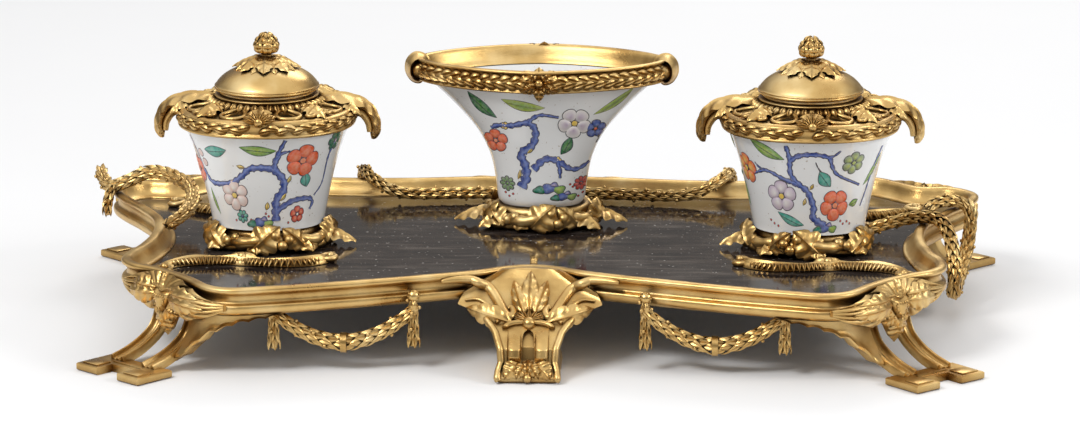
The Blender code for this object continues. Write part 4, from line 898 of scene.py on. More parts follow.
cast("laid_garland_right", laid_run(right_run_shares), "garland_right")
cast("laid_garland_left", laid_run(left_run_shares) + laid_run(left_tail_shares, 0.5, 0.5), "garland_left")
cast("laid_garland_back", laid_run(back_run_shares, 0.52, 0.66), "garland_back")

# Panel scrolls: leafy C-scrolls screwed to the lacquer inside each corner. Each runs from the
# corner to a knot in front of an ink cup, fluted on the inside of its bends.
front_scroll_shares = np.array([
    (0.815, -0.540, 0.35, 0.40), (0.800, -0.430, 0.75, 0.70), (0.750, -0.365, 0.95, 0.95),
    (0.690, -0.345, 0.70, 0.75), (0.640, -0.355, 1.20, 1.00), (0.590, -0.370, 0.70, 0.70),
    (0.520, -0.375, 0.95, 0.90), (0.470, -0.330, 1.00, 0.90), (0.455, -0.280, 0.40, 0.45)])
back_scroll_shares = np.array([
    (0.855, 0.640, 0.35, 0.40), (0.820, 0.560, 0.75, 0.70), (0.765, 0.500, 0.95, 0.95),
    (0.700, 0.480, 0.70, 0.75), (0.645, 0.500, 1.20, 1.00), (0.590, 0.520, 0.70, 0.70),
    (0.560, 0.510, 0.40, 0.45)])
scroll_half_width = 0.0036
scroll_height = 0.0042


def scroll_shells(side_x, shares):
    """The scroll's body, a smooth band with three round reeds carried along its route, with flutes
    like a shell's on its inner side, a fan at the knot and a large volute at either end."""
    route = smooth_through(shares * (side_x * tray_half_length, tray_half_depth, 1, 1), 12)
    path, wide, tall = route[:, :2], route[:, 2], route[:, 3]
    ahead = unit(np.gradient(path, axis=0))
    aside = leftwards(ahead)
    s = np.concatenate([np.linspace(-1, 1, 25), [0.5, 0.0, -0.5]])
    crown = np.sqrt(np.clip(1 - s[:25] ** 2, 0, 1)) * (0.86 + 0.14 * np.cos(s[:25] * 4 * math.pi))
    up = np.concatenate([crown, [0, 0, 0]])
    spot = path[:, None] + aside[:, None] * (scroll_half_width * 0.78 * wide[:, None] * s)[..., None]
    height = board_top + 0.0003 + scroll_height * 0.92 * tall[:, None] * up
    shells = [skin(raised(spot, height))]
    count = 34
    places = np.linspace(len(path) * 0.16, len(path) * 0.84, count).astype(int)
    swell = np.abs(np.sin(np.linspace(0, 2 * math.pi, count)))
    start = np.column_stack([path[places], np.full(count, board_top + 0.0022)])
    reach = scroll_half_width * (0.80 + 0.95 * swell)
    tip = start + np.column_stack([aside[places] * side_x * reach[:, None], np.full(count, -0.0012)])
    shells.append(leaf_shells(start, tip, (0, 0, 1.0), 0.0023, 0.14, 0, 8, 0.0010, 3))
    knot = len(path) // 2
    middle = np.append(path[knot], board_top + 0.0026)
    for angle in np.linspace(-1.1, 1.1, 7):
        heading = aside[knot] * math.cos(angle) * -side_x + ahead[knot] * math.sin(angle)
        tip = middle + np.append(heading * 0.0070, -0.0014)
        shells.append(leaf_shells(middle, tip, (0, 0, 1.0), 0.0028, 0.18, 0, 9, 0.0010))
    shells.append(ball_shells([middle + (0, 0, 0.0006)], 0.0019))
    for end, sign in ((4, 1), (-5, -1)):
        eye = np.append(path[end] + aside[end] * side_x * 0.0020, board_top + 0.0016)
        first_axis, second_axis = np.append(-sign * ahead[end], 0.0), np.append(-aside[end] * side_x, 0.0)
        shells.append(spiral_shell(eye, first_axis, second_axis, 0.0044, 1.3, 0.0015))
        shells.append(ball_shells([eye + (0, 0, 0.0010)], 0.0016))
    return shells


for word, side_x, side_y in corner_names:
    shares = front_scroll_shares if side_y < 0 else back_scroll_shares
    cast("panel_scroll_" + word, scroll_shells(side_x, shares), "scroll_" + word)

# Vessel mounts: cast dishes of twigs, leaves and berries that a porcelain vessel stands in. Each is
# bolted down through the board, its long leaves lying out over the lacquer.
ink_x = 0.111
ink_y = 0.0026
vessel_y = 0.0400
mount_low = 0.0298
dish_radius = 0.0245
dish_profile = ((0.0030, 0.0070), (0.0165, 0.0070), (0.0188, 0.0086), (0.0200, 0.0091),
                (0.0216, 0.0086), (0.0226, 0.0068), (0.0222, 0.0046), (0.0212, 0.0024),
                (0.0216, 0.0004), (0.0030, 0.0004))
# Twigs: height above the dish's foot, phase of their bends, thickness, and the angles they run between
mount_twigs = ((0.0056, 0.0, 0.0023, -178, 8), (0.0030, 1.7, 0.0019, -150, 60),
               (0.0060, 3.1, 0.0019, 10, 172), (0.0028, 4.4, 0.0018, 70, 215))
# Long leaves over the lacquer: angle and the reach of the tip in dish radii
ink_leaves = ((-8, 1.50), (-48, 1.25), (-95, 1.19), (-140, 1.23), (168, 1.08), (70, 1.19), (118, 1.10),
              (28, 1.18))
centre_leaves = ((-4, 1.60), (-38, 1.40), (-72, 1.15), (-112, 1.13), (-146, 1.38), (-178, 1.62),
                 (90, 1.18), (40, 1.15), (140, 1.15))
# Leaves that rise against a vessel's foot: angle, lean, width and height of the tip
rising_leaves = ((-160, 22, 0.0115, 0.0118), (-128, -26, 0.0105, 0.0104), (-98, 24, 0.0140, 0.0116),
                 (-52, -20, 0.0100, 0.0108), (-24, 18, 0.0120, 0.0114), (14, -20, 0.0110, 0.0108),
                 (52, 22, 0.0120, 0.0112), (92, -18, 0.0110, 0.0106), (132, 20, 0.0120, 0.0112))
berry_places = ((-66, 0.99, 0.0068), (-74, 1.01, 0.0052), (-118, 0.99, 0.0060), (-58, 1.02, 0.0048),
                (-126, 1.02, 0.0046), (-20, 1.0, 0.0060), (-28, 1.02, 0.0050), (60, 1.0, 0.0055),
                (-67, 1.12, 0.0062), (-73, 1.14, 0.0040), (-79, 1.06, 0.0078))


def mount_shells(centre, leaves, mirror, oval):
    """The dish as a turned ring with a rolled lip, gnarled twigs winding round it at two heights,
    long leaves that dip to the lacquer, broad leaves that rise against the vessel's foot, and
    clusters of berries."""
    stretch, flip = np.array((*oval, 1.0)), (mirror, 1, 1)
    turn = full_turn(72)
    ring = np.stack([polar(r, turn, mount_low + z) * stretch for r, z in smooth_through(dish_profile, 3)])
    shells = [skin(ring, looped=True)]
    for height, phase, thick, first, last in mount_twigs:
        share = np.linspace(0, 1, 70)
        angle = np.radians(first + (last - first) * share)
        reach = dish_radius * (0.985 + 0.06 * np.sin(share * 19 + phase))
        height = mount_low + height + 0.0012 * np.sin(share * 14 + phase * 2)
        gnarled = 1 + 0.20 * np.sin(share * 47 + phase) * np.sin(share * 31)
        size = thick * gnarled * (1 - 0.35 * np.abs(2 * share - 1) ** 3)
        shells.append(tube_shell(polar(reach, angle, height) * stretch * flip, size))
    for angle, reach in leaves:
        heading = polar(1.0, math.radians(angle), 0.0) * flip
        start = heading * dish_radius * 0.78 * stretch + (0, 0, mount_low + 0.0066)
        tip = heading * dish_radius * reach * stretch + (0, 0, mount_low + 0.0012)
        shells.append(leaf_shells(start, tip, (0, 0, 1.0), 0.0158, 0.05, 4, 40, 0.0015, 8))
    for angle, lean, width, top in rising_leaves:
        out, leaning = (polar(1.0, math.radians(a), 0.0) * flip * stretch for a in (angle, angle + lean))
        start = out * dish_radius * 1.10 + (0, 0, mount_low + 0.0022)
        tip = leaning * dish_radius * 1.035 + (0, 0, mount_low + top)
        shells.append(leaf_shells(start, tip, out + (0, 0, 0.25), width, 0.10, 3, 30, 0.0012, 7))
    angle, reach, height = np.array(berry_places).T
    berries = polar(reach * dish_radius, np.radians(angle), mount_low + height) * stretch * flip
    shells.append(ball_shells(berries, 0.0022))
    return shifted(shells, (*centre, 0.0))


for word, side in left_and_right:
    shells = mount_shells((side * ink_x, ink_y), ink_leaves, -side, (1.0, 1.0))
    cast("leafy_mount_" + word, shells, "mount_" + word)
cast("leafy_mount_centre", mount_shells((0.0, vessel_y), centre_leaves, 1, (0.92, 0.80)), "mount_centre")

# Ink cups: thrown porcelain with four slight corners, a clear cool glaze over the white body.
cup_bottom = 0.0393
cup_height = 0.0417
cup_rim_radius = 0.0342
cup_foot_radius = 0.0232
cup_wall = 0.0026
cup_floor = 0.0032
cup_corners = 0.04
bolt_hole = 0.0024
cup_flare = np.array([(0.0, 0.0), (0.03, 0.0), (0.30, 0.20), (0.65, 0.53), (1.00, 1.00)])


def porcelain_finish():
    """Cool white porcelain: barely uneven glaze, faint cloudiness, tiny kiln specks."""
    made, nodes, link, shader = surface("glazed_porcelain")
    cloud = noise(nodes, link, 35.0, 4.0)
    specks = noise(nodes, link, 900.0, 1.0, 0.4)
    body = ramp(nodes, link, cloud, (0.30, (0.79, 0.805, 0.81)), (0.70, (0.86, 0.865, 0.86)))
    speck = ramp(nodes, link, specks, (0.74, (0.0, 0.0, 0.0)), (0.76, (1.0, 1.0, 1.0)))
    link(blend(nodes, link, speck, body, (0.55, 0.50, 0.45)), shader.inputs["Base Color"])
    link(spread(nodes, link, cloud, 0.06, 0.13), shader.inputs["Roughness"])
    settle(shader, Coat_Weight=0.4, Coat_Roughness=0.03)
    grain(nodes, link, shader, cloud, 0.12, 0.0010)
    return made


porcelain = porcelain_finish()


def cornered(angle, corners=cup_corners):
    """How far four slight corners stretch a circle: it grows by half of corners times one minus
    the cosine of four times the angle."""
    return 1 + corners / 2 * (1 - np.cos(4 * angle))


def cup_reach(share, angle, inset=0.0):
    """The ink cup's radius at a share of its height: the flare's own curve, plus its corners."""
    flare = np.interp(share, *smooth_through(cup_flare, 8).T)
    radius = cup_foot_radius + (cup_rim_radius - cup_foot_radius) * flare - inset
    return radius * cornered(angle)


def cup_skin(centre, angle, share, proud=0.0):
    """A point on the outside of an ink cup."""
    return polar(cup_reach(share, angle) + proud, angle, cup_bottom + share * cup_height) + (*centre, 0.0)


def cup_shell(centre):
    """The cup's wall as rings: up the outside, over the lip, down the inside and across the floor."""
    angle = full_turn(128)
    up = np.linspace(0.0, 1.0, 30)
    rows = [polar(bolt_hole, angle, cup_bottom)] + [cup_skin((0, 0), angle, share) for share in up]
    for share in up[:0:-1]:
        reach = cup_reach(max(share, cup_floor / cup_height), angle, cup_wall)
        rows.append(polar(reach, angle, cup_bottom + max(share * cup_height, cup_floor)))
    rows.append(polar(bolt_hole, angle, cup_bottom + cup_floor))
    return shifted([skin(np.stack(rows), looped=True)], (*centre, 0.0))


def enamel_finish():
    """Overglaze enamel: the painter's colours from the brush marks' own colour layer, thin and
    pooled unevenly, glossy, standing a hair above the glaze."""
    made, nodes, link, shader = surface("overglaze_enamel")
    layer = nodes.new("ShaderNodeVertexColor")
    layer.layer_name = "enamel"
    pooled = noise(nodes, link, 700.0, 4.0)
    thin = spread(nodes, link, pooled, 0.0, 0.16)
    tone = blend(nodes, link, thin, layer.outputs["Color"], (0.84, 0.84, 0.82))
    link(tone, shader.inputs["Base Color"])
    link(spread(nodes, link, pooled, 0.10, 0.24), shader.inputs["Roughness"])
    grain(nodes, link, shader, pooled, 0.15, 0.0002)
    return made


enamel = enamel_finish()
outline_width = 0.34
vein_half_width = 0.24
enamel_dome = 0.00022
wrap_radius = 30.0
millimetres = 1000
# Brush marks keep within these shares of a vessel's height
painted_band = (0.01, 0.985)
paint = {"line": (0.030, 0.024, 0.040), "orange": (0.72, 0.085, 0.015), "coral": (0.80, 0.26, 0.13),
         "yellow": (0.80, 0.56, 0.10), "green": (0.12, 0.30, 0.045),
         "deep_green": (0.010, 0.125, 0.055), "leaf_yellow": (0.42, 0.50, 0.10),
         "teal": (0.026, 0.27, 0.21), "pale_teal": (0.16, 0.48, 0.38), "blue": (0.035, 0.065, 0.27),
         "pale_blue": (0.14, 0.21, 0.52), "lilac": (0.50, 0.40, 0.52), "pink": (0.72, 0.52, 0.46),
         "white": (0.80, 0.77, 0.74), "red": (0.56, 0.035, 0.02), "grey_green": (0.20, 0.25, 0.17)}


def painted_disc(middle, outline_points, inner, outer, layer, bands=7, vein=None, dome=0.0):
    """A filled shape in the flat of the decoration (millimetres): rings from its middle to its
    outline, shading from the inner colour to the outer one, with a dark line of even width round
    it. The dome lifts its middle by one minus the square of the ring's share."""
    middle, edge = np.asarray(middle, float), np.asarray(outline_points, float)
    out = edge - middle
    size = np.linalg.norm(out, axis=1, keepdims=True)
    line = np.minimum(outline_width, 0.35 * size)
    share = np.concatenate([np.linspace(0.02, 1.0, bands), [1.001]])[:, None, None]
    grid = np.concatenate([middle + (out * (1 - line / size))[None] * share, edge[None]])
    mix = np.clip(share, 0, 1)
    tone = np.array(paint[inner]) * (1 - mix) + np.array(paint[outer]) * mix
    tone = np.broadcast_to(tone, (bands + 1, len(edge), 3)).copy()
    tone = np.concatenate([tone, tone[-1:]])
    tone[-2:] = paint["line"]
    if vein is not None:
        across = np.abs((grid - middle) @ np.array((-vein[1], vein[0])))
        tone[across < vein_half_width] = np.array(paint["line"]) * 0.6 + np.array(paint[outer]) * 0.4
    rise = np.append(1 - mix[:, 0] ** 2, [[0.0]], axis=0)
    height = layer * np.append(np.ones(bands + 1), 0.4)[:, None] + dome * rise
    return grid, tone, np.broadcast_to(height, grid.shape[:2]), True


def painted_leaf(x, y, degrees, length, width, colour, second=None):
    """A pointed leaf: half its width follows the sine along its length, with a dark midrib."""
    t = full_turn(40)
    run = np.cos(t) * length / 2
    half = np.sin(t) * width / 2 * (1 - 0.45 * np.cos(t) ** 2) * np.abs(np.sin(t)) ** 0.35
    bend = 0.06 * length * np.cos(t) ** 2
    a = math.radians(degrees)
    heading = np.array((math.cos(a), math.sin(a)))
    points = np.array((x, y)) + np.outer(run, heading) + np.outer(half + bend, (-heading[1], heading[0]))
    return [painted_disc((x, y), points, second or colour, colour, 0.00010, 9, heading, enamel_dome)]


def painted_flower(x, y, radius, petal, heart="yellow", petals=5, turned=0.0, edge=None):
    """A prunus flower seen from the front: round petals, each with its own outline and low dome,
    set round a domed heart of a second colour."""
    t = full_turn(26)
    shapes = []
    for k in range(petals):
        a = turned + 2 * math.pi * k / petals
        ahead, beside = np.array((math.cos(a), math.sin(a))), np.array((-math.sin(a), math.cos(a)))
        middle = np.array((x, y)) + 0.57 * radius * ahead
        broad = 1.32 * math.sin(math.pi / petals) * 0.57
        round_petal = np.outer(0.43 * np.cos(t), ahead)
        round_petal = round_petal + np.outer(broad * np.sin(t) * (1 + 0.22 * np.cos(t)), beside)
        shapes.append(painted_disc(
            middle - 0.12 * radius * ahead, middle + radius * round_petal, edge or petal, petal,
            0.00012 + 0.00003 * (k % 2), 6, None, 0.00006 * radius))
    core = np.array((x, y)) + 0.21 * radius * np.stack([np.cos(t), np.sin(t)], axis=1)
    shapes.append(painted_disc((x, y), core, heart, heart, 0.00024 + 0.00003 * radius, 4, None, 0.00012))
    return shapes


def painted_branch(knots, width, colour, light=None, layer=0.00007):
    """A brushed branch: a strip along a smooth line with a low round back, dark at both edges, its
    width swelling at the knots of the wood and tapering to the tip."""
    line = smooth_through(knots, 8)
    share = np.linspace(0, 1, len(line))
    aside = leftwards(unit(np.gradient(line, axis=0)))
    run = run_along(line)
    size = width / 2 * (1 - 0.50 * share) * (1 + 0.20 * np.sin(run * 1.9) + 0.10 * np.sin(run * 4.1 + 1))
    rim = np.clip(1 - outline_width / size, 0.3, 1.0)[:, None]
    edge = np.ones_like(rim)
    rows = [-edge, -rim, -rim * 0.999, -rim * 0.3, rim * 0.35, rim * 0.999, rim, edge]
    across = np.concatenate(rows, axis=1)
    grid = line[:, None] + aside[:, None] * (size[:, None] * across)[..., None]
    names = ("line", "line", colour, light or colour, colour, colour, "line", "line")
    tones = np.broadcast_to([paint[name] for name in names], (*grid.shape[:2], 3))
    rounded = enamel_dome * np.array([0, 0.3, 0.3, 1, 1, 0.3, 0.3, 0]) * min(width / 2, 1.0)
    back = layer * np.array([0.4, 1, 1, 1, 1, 1, 1, 0.4]) + rounded
    return [(grid, tones, np.broadcast_to(back, grid.shape[:2]), False)]


def painted_specks(places, radius, colour):
    """Small dots of one colour."""
    t = full_turn(10)
    ring_points = np.stack([np.cos(t), np.sin(t)], axis=1) * radius
    return [painted_disc(spot, np.asarray(spot) + ring_points, colour, colour, 0.00008, 3) for spot in places]


def painted_spray(branches, leaves, flowers, specks):
    """The brush marks of one spray in the order in which they're painted, from the wood to the
    smallest dots. Each row holds what the function for its kind of mark asks for."""
    kinds = (painted_branch, painted_leaf, painted_flower, painted_specks)
    marks = zip(kinds, (branches, leaves, flowers, specks))
    return [shape for paint_one, rows in marks for row in rows for shape in paint_one(*row)]


def painted_mesh(name, shapes, wrap):
    """All brush marks laid on a vessel: wrap turns millimetres across and up, and a thickness,
    into points on its wall, and the marks' colours go into the colour layer."""
    points, faces, tones, start = [], [], [], 0
    for grid, tone, layer, round_shape in shapes:
        wrapped = wrap(grid[..., 0], grid[..., 1], layer)
        shell_points, shell_faces = skin(wrapped, around=round_shape, capped=False)
        if round_shape:
            shell_faces = shell_faces + [list(range(grid.shape[1]))]
        faces += [[corner + start for corner in face] for face in shell_faces]
        points.append(shell_points)
        tones.append(tone.reshape(-1, 3))
        start += len(shell_points)
    points, tones = np.concatenate(points), np.concatenate(tones)
    mesh = bpy.data.meshes.new(name)
    mesh.from_pydata(points.tolist(), [], faces)
    layer = mesh.color_attributes.new("enamel", "FLOAT_COLOR", "POINT")
    layer.data.foreach_set("color", np.column_stack([tones, np.ones(len(tones))]).ravel())
    mesh.shade_smooth()
    return mesh


def facing_out(mesh, centre):
    """Turns every face of a painted mesh away from the vessel's axis."""
    work = bmesh.new()
    work.from_mesh(mesh)
    for face in work.faces:
        spot = face.calc_center_median()
        if face.normal.x * (spot.x - centre[0]) + face.normal.y * (spot.y - centre[1]) < 0:
            face.normal_flip()
    work.to_mesh(mesh)
    work.free()
    return mesh


def on_cup(centre, turned):
    """The wrap for an ink cup: millimetres across run round it from its front, and divided by the
    wrap's radius they give the angle."""
    def wrap(across, up, layer):
        angle = -math.pi / 2 + turned + across / wrap_radius
        share = np.clip(up / (cup_height * millimetres), *painted_band)
        return cup_skin(centre, angle, share, layer)
    return wrap


# Rocks: place, size and the colours inside and round the edge
rock_places = ((0, 0, 2.8, "pale_blue", "blue"), (4.2, -0.5, 2.4, "leaf_yellow", "green"),
               (-4.0, -0.6, 2.3, "teal", "deep_green"), (2.2, 1.6, 1.6, "lilac", "blue"))


def rocks(x, y, scale=1.0):
    """Rounded rocks at a trunk's foot."""
    t = full_turn(24)
    shapes = []
    for k, (dx, dy, size, inner, outer) in enumerate(rock_places):
        reach = size * scale * (1 + 0.14 * np.cos(3 * t + dx))
        middle = np.array((x + dx * scale, y + dy * scale))
        points = middle + np.stack([reach * np.cos(t) * 1.15, reach * np.sin(t) * 0.8], axis=1)
        shapes.append(painted_disc(middle, points, inner, outer, 0.00009 + 0.00003 * k, 6, None, 0.00025))
    return shapes


def right_spray():
    """The prunus spray of the right cup, in millimetres round and up its wall."""
    branches = (
        ([(7.3, 4), (1.5, 7.6), (1.3, 12.6), (-1.6, 19), (-5.2, 22), (-8.6, 26.4), (-8.6, 33.4), (-9.5, 39)],
         3.6, "blue", "pale_blue"),
        ([(-6.0, 22), (-12.5, 24.4), (-19, 27.1), (-25.5, 25.3)], 2.4, "blue", "pale_blue"),
        ([(-19, 27.1), (-22.5, 28), (-24.5, 30)], 1.5, "blue"),
        ([(-8.6, 32.6), (-4, 35), (2.4, 35.2), (6.9, 33.6), (8.4, 30), (11.6, 25.9), (22.6, 20.8)],
         2.5, "blue", "pale_blue"),
        ([(6.4, 34), (8.8, 34.8), (10.9, 36.8)], 1.6, "blue", "pale_blue"),
        ([(32, 36), (30, 27), (28.5, 18.3), (26.4, 11)], 1.8, "blue", "pale_blue"),
        ([(4.0, 27.5), (2.4, 30), (1.6, 32)], 0.7, "line"))
    leaves = (
        (-17.7, 36, -32, 15.5, 5.2, "green", "leaf_yellow"), (-41, 36, 70, 9, 3.6, "green", "leaf_yellow"),
        (-39, 14, -80, 11, 3.2, "green", "leaf_yellow"), (-10, 6.2, -22, 14, 4.2, "teal", "pale_teal"),
        (5.6, 24.2, -52, 8.6, 5.6, "teal", "pale_teal"), (21.4, 13.1, 20, 5.4, 3.4, "green", "leaf_yellow"),
        (30.0, 26, 58, 15, 3.4, "green", "leaf_yellow"), (-2.8, 14.5, 70, 3.6, 1.8, "yellow"),
        (0.4, 21, 60, 3.2, 1.6, "yellow"), (-43, 22, 20, 4.2, 3.0, "teal", "pale_teal"))
    flowers = (
        (17.2, 31, 5.0, "grey_green", "leaf_yellow", 6, 0.5, "leaf_yellow"),
        (-13.4, 16.6, 6.9, "lilac", "yellow", 5, 0.3, "white"),
        (11.4, 12.9, 7.0, "orange", "coral", 5, 0.9, "coral"),
        (-31.0, 26.4, 6.6, "orange", "yellow", 5, 0.2, "yellow"))
    dots = [(-18.7, 4.3), (-20.5, 5.6), (-16.6, 3.4), (17, 4.5), (19, 5.4), (15.4, 5.8), (21, 4.2)]
    return painted_spray(branches, leaves, flowers, [(dots, 0.6, "red")]) + rocks(7.5, 3.0, 0.9)


def left_spray():
    """The prunus spray of the left cup, in millimetres round and up its wall."""
    branches = (
        ([(6.7, 4.2), (6.5, 9.2), (6.9, 13.4), (9.9, 17.9), (9.1, 22.7), (4.3, 26.9), (-4.1, 27.1),
          (-8.3, 23.8), (-14.2, 20.2), (-24.9, 19.3), (-29.2, 23.9)], 4.2, "blue", "pale_blue"),
        ([(5.4, 26.6), (6.0, 30), (6.6, 32.6), (9.4, 39.5)], 3.0, "blue", "pale_blue"),
        ([(6.4, 31.2), (8.6, 33.8), (11.6, 34.6)], 2.0, "blue", "pale_blue"),
        ([(7.2, 8.8), (14.6, 12.6), (22.4, 13), (25.4, 11), (24.2, 8)], 3.0, "blue", "pale_blue"),
        ([(32, 36), (30.5, 30), (30.3, 19), (25.8, 13.7)], 1.7, "blue", "pale_blue"),
        ([(-33, 38), (-31, 30), (-29.2, 24)], 1.3, "lilac", "white"))
    leaves = (
        (-0.9, 34.9, -6, 14.4, 4.6, "green", "leaf_yellow"), (-18.8, 33.5, 6, 11, 5.2, "teal", "pale_teal"),
        (19.7, 21.2, -78, 6.6, 5.2, "teal", "pale_teal"), (-26.3, 10.8, -70, 12, 2.4, "green", "leaf_yellow"),
        (2.4, 10.6, 75, 3.8, 2.4, "yellow"), (9.9, 14.4, 50, 4.6, 2.0, "yellow", "leaf_yellow"),
        (-8.6, 27.6, -10, 3.6, 2.0, "yellow"), (12.2, 22, 65, 4.0, 1.8, "yellow", "leaf_yellow"))
    flowers = (
        (-13.0, 15.0, 6.8, "pink", "yellow", 6, 0.5, "white"),
        (17.1, 30, 7.2, "orange", "coral", 5, 0.1, "coral"),
        (-35, 23.3, 6.2, "orange", "coral", 5, 0.7, "coral"),
        (17.3, 6.6, 3.8, "red", "white", 5, 0.4, "coral"),
        (32, 36.4, 4.4, "deep_green", "lilac", 6), (-10.3, 6.0, 3.0, "teal", "blue", 7, 0.2, "pale_teal"))
    dots = [(-14, 4.0), (-6, 4.6), (1.6, 7.4), (3.0, 6.2), (13, 3.2)]
    specks = (([(-28, 31.5), (-26.7, 27.6)], 1.9, "pink"), (dots, 0.6, "red"))
    return painted_spray(branches, leaves, flowers, specks) + rocks(-1.5, 3.4)


for word, side, spray in (("left", -1, left_spray), ("right", 1, right_spray)):
    centre = (side * ink_x, ink_y)
    mesh = shell_mesh("ink_cup_" + word, cup_shell(centre))
    tie(mesh, porcelain, "inkstand", ["cup_" + word])
    for turned, name in ((0.0, "front"), (math.pi, "back")):
        mesh = painted_mesh(f"spray_{name}_{word}", spray(), on_cup(centre, turned))
        tie(facing_out(mesh, centre), enamel, "inkstand", [])

# Pierced collars: bronze rims over the ink cups. A laurel band clasps the rim, a shoulder pierced
# with eight openings between leaves rises to a plain neck, and a leafy hook curls off either side.
neck_top = 0.0922
neck_radius = 0.0206
bore_radius = 0.0178
band_radius = 0.0346
shoulder_edge = 0.0356
laurel_radius = 0.0357
opening_count = 8
opening_middle = 0.0274
opening_length = 0.0098
opening_width = 0.0086
# The pierced plate's section: share of the way from the opening to the sector's edge, and depth
plate_section = ((1.0, 0.0), (0.6, 0.0), (0.25, 0.0), (0.06, 0.0), (0.0, 0.0003), (0.0, 0.0014),
                 (0.3, 0.0016), (1.0, 0.0016))


def shoulder_height(radius):
    """The shoulder's top: from the band it rises inwards on a hollow curve to the neck."""
    return np.interp(radius, (neck_radius, 0.0222, 0.0260, 0.0300, band_radius),
                     (0.0900, 0.0886, 0.0877, 0.0872, 0.0864))


def corner_stretch(radius, angle):
    """The cup's four slight corners, fading from the band to the round neck."""
    share = np.clip((radius - neck_radius) / (band_radius - neck_radius), 0, 1)
    return radius * cornered(angle, cup_corners * share)


def shoulder_point(radius, angle, proud=0.0):
    """A point on the shoulder."""
    return polar(corner_stretch(radius, angle), angle, shoulder_height(radius) + proud)


def opening_edge(turn, grow=1.0):
    """The egg-shaped edge of an opening about its own middle: distance inwards or outwards, and
    distance round the collar."""
    return (opening_length / 2 * np.cos(turn) * grow,
            opening_width / 2 * np.sin(turn) * (1 + 0.20 * np.cos(turn)) * grow)


def pierced_sectors():
    """Eight plates, each a band of faces from the opening's edge out to the edge of its sector,
    with a wall down the opening and an underside."""
    turn = full_turn(56)
    square = np.stack([np.cos(turn), np.sin(turn)]) / np.maximum(np.abs(np.cos(turn)), np.abs(np.sin(turn)))
    shells = []
    edge_out, edge_round = opening_edge(turn)
    for middle_angle in opening_angles:
        inner_radius, inner_angle = opening_middle + edge_out, middle_angle + edge_round / opening_middle
        outer_radius = (neck_radius + shoulder_edge) / 2 + square[0] * (shoulder_edge - neck_radius) / 2
        outer_angle = middle_angle + square[1] * math.pi / opening_count
        rows = []
        for share, depth in plate_section:
            radius = inner_radius * (1 - share) + outer_radius * share
            angle = inner_angle * (1 - share) + outer_angle * share
            rows.append(shoulder_point(radius, angle, -depth))
        shells.append(skin(np.stack(rows), looped=True))
    return shells


def turned_ring(profile, segments=112, corners=0.0):
    """A closed profile of (radius, height) carried round the axis."""
    angle = full_turn(segments)
    profile = np.asarray(profile, float)
    return polar(profile[:, :1] * cornered(angle, corners), angle, profile[:, 1:])


def curling_leaf(spine, widths, aside, thickness, lobes):
    """A leaf that follows a curved spine: its width changes along it, cut into lobes if asked; it
    arches over the spine, with a proud midrib and folds that lean to the tip."""
    path = smooth_through(spine, 7)
    t = np.linspace(0, 1, len(path))
    half = np.interp(t, np.linspace(0, 1, len(widths)), widths) / 2
    if lobes:
        half = half * (0.80 + 0.20 * np.abs(np.sin(math.pi * (lobes * t + 0.1))) ** 0.6)
    lift = unit(np.cross(unit(np.gradient(path, axis=0)), aside)) * -1
    lift = lift * np.where(lift[0, 2] < 0, -1.0, 1.0)
    across = np.linspace(-1, 1, 19)
    s = np.concatenate([across, [0.6, 0.0, -0.6]])
    folds = np.cos(2 * math.pi * (lobes * t[:, None] - 0.8 * np.abs(across))) * np.abs(across) * (lobes > 0)
    arched = 0.55 * half[:, None] * (1 - across ** 2) / thickness * 0.6
    top = arched + 0.45 * np.exp(-(across / 0.12) ** 2) + 0.22 * folds
    under = np.broadcast_to(np.array([-0.6, -0.8, -0.6]), (len(t), 3))
    up = np.concatenate([top, under], axis=1) * thickness
    wide = np.asarray(aside) * (half[:, None] * s)[..., None]
    return skin(path[:, None] + wide + lift[:, None] * up[..., None])


opening_angles = math.pi / opening_count + np.arange(opening_count) * 2 * math.pi / opening_count
hook_spine = ((0.0222, 0.0900), (0.0290, 0.0896), (0.0358, 0.0886), (0.0410, 0.0862), (0.0438, 0.0820),
              (0.0446, 0.0775), (0.0438, 0.0746), (0.0424, 0.0742))
hook_widths = (0.0070, 0.0150, 0.0140, 0.0105, 0.0086, 0.0074, 0.0050, 0.0020)
hook_stem = ((0.0345, 0.0850), (0.0390, 0.0838), (0.0416, 0.0800), (0.0422, 0.0760))


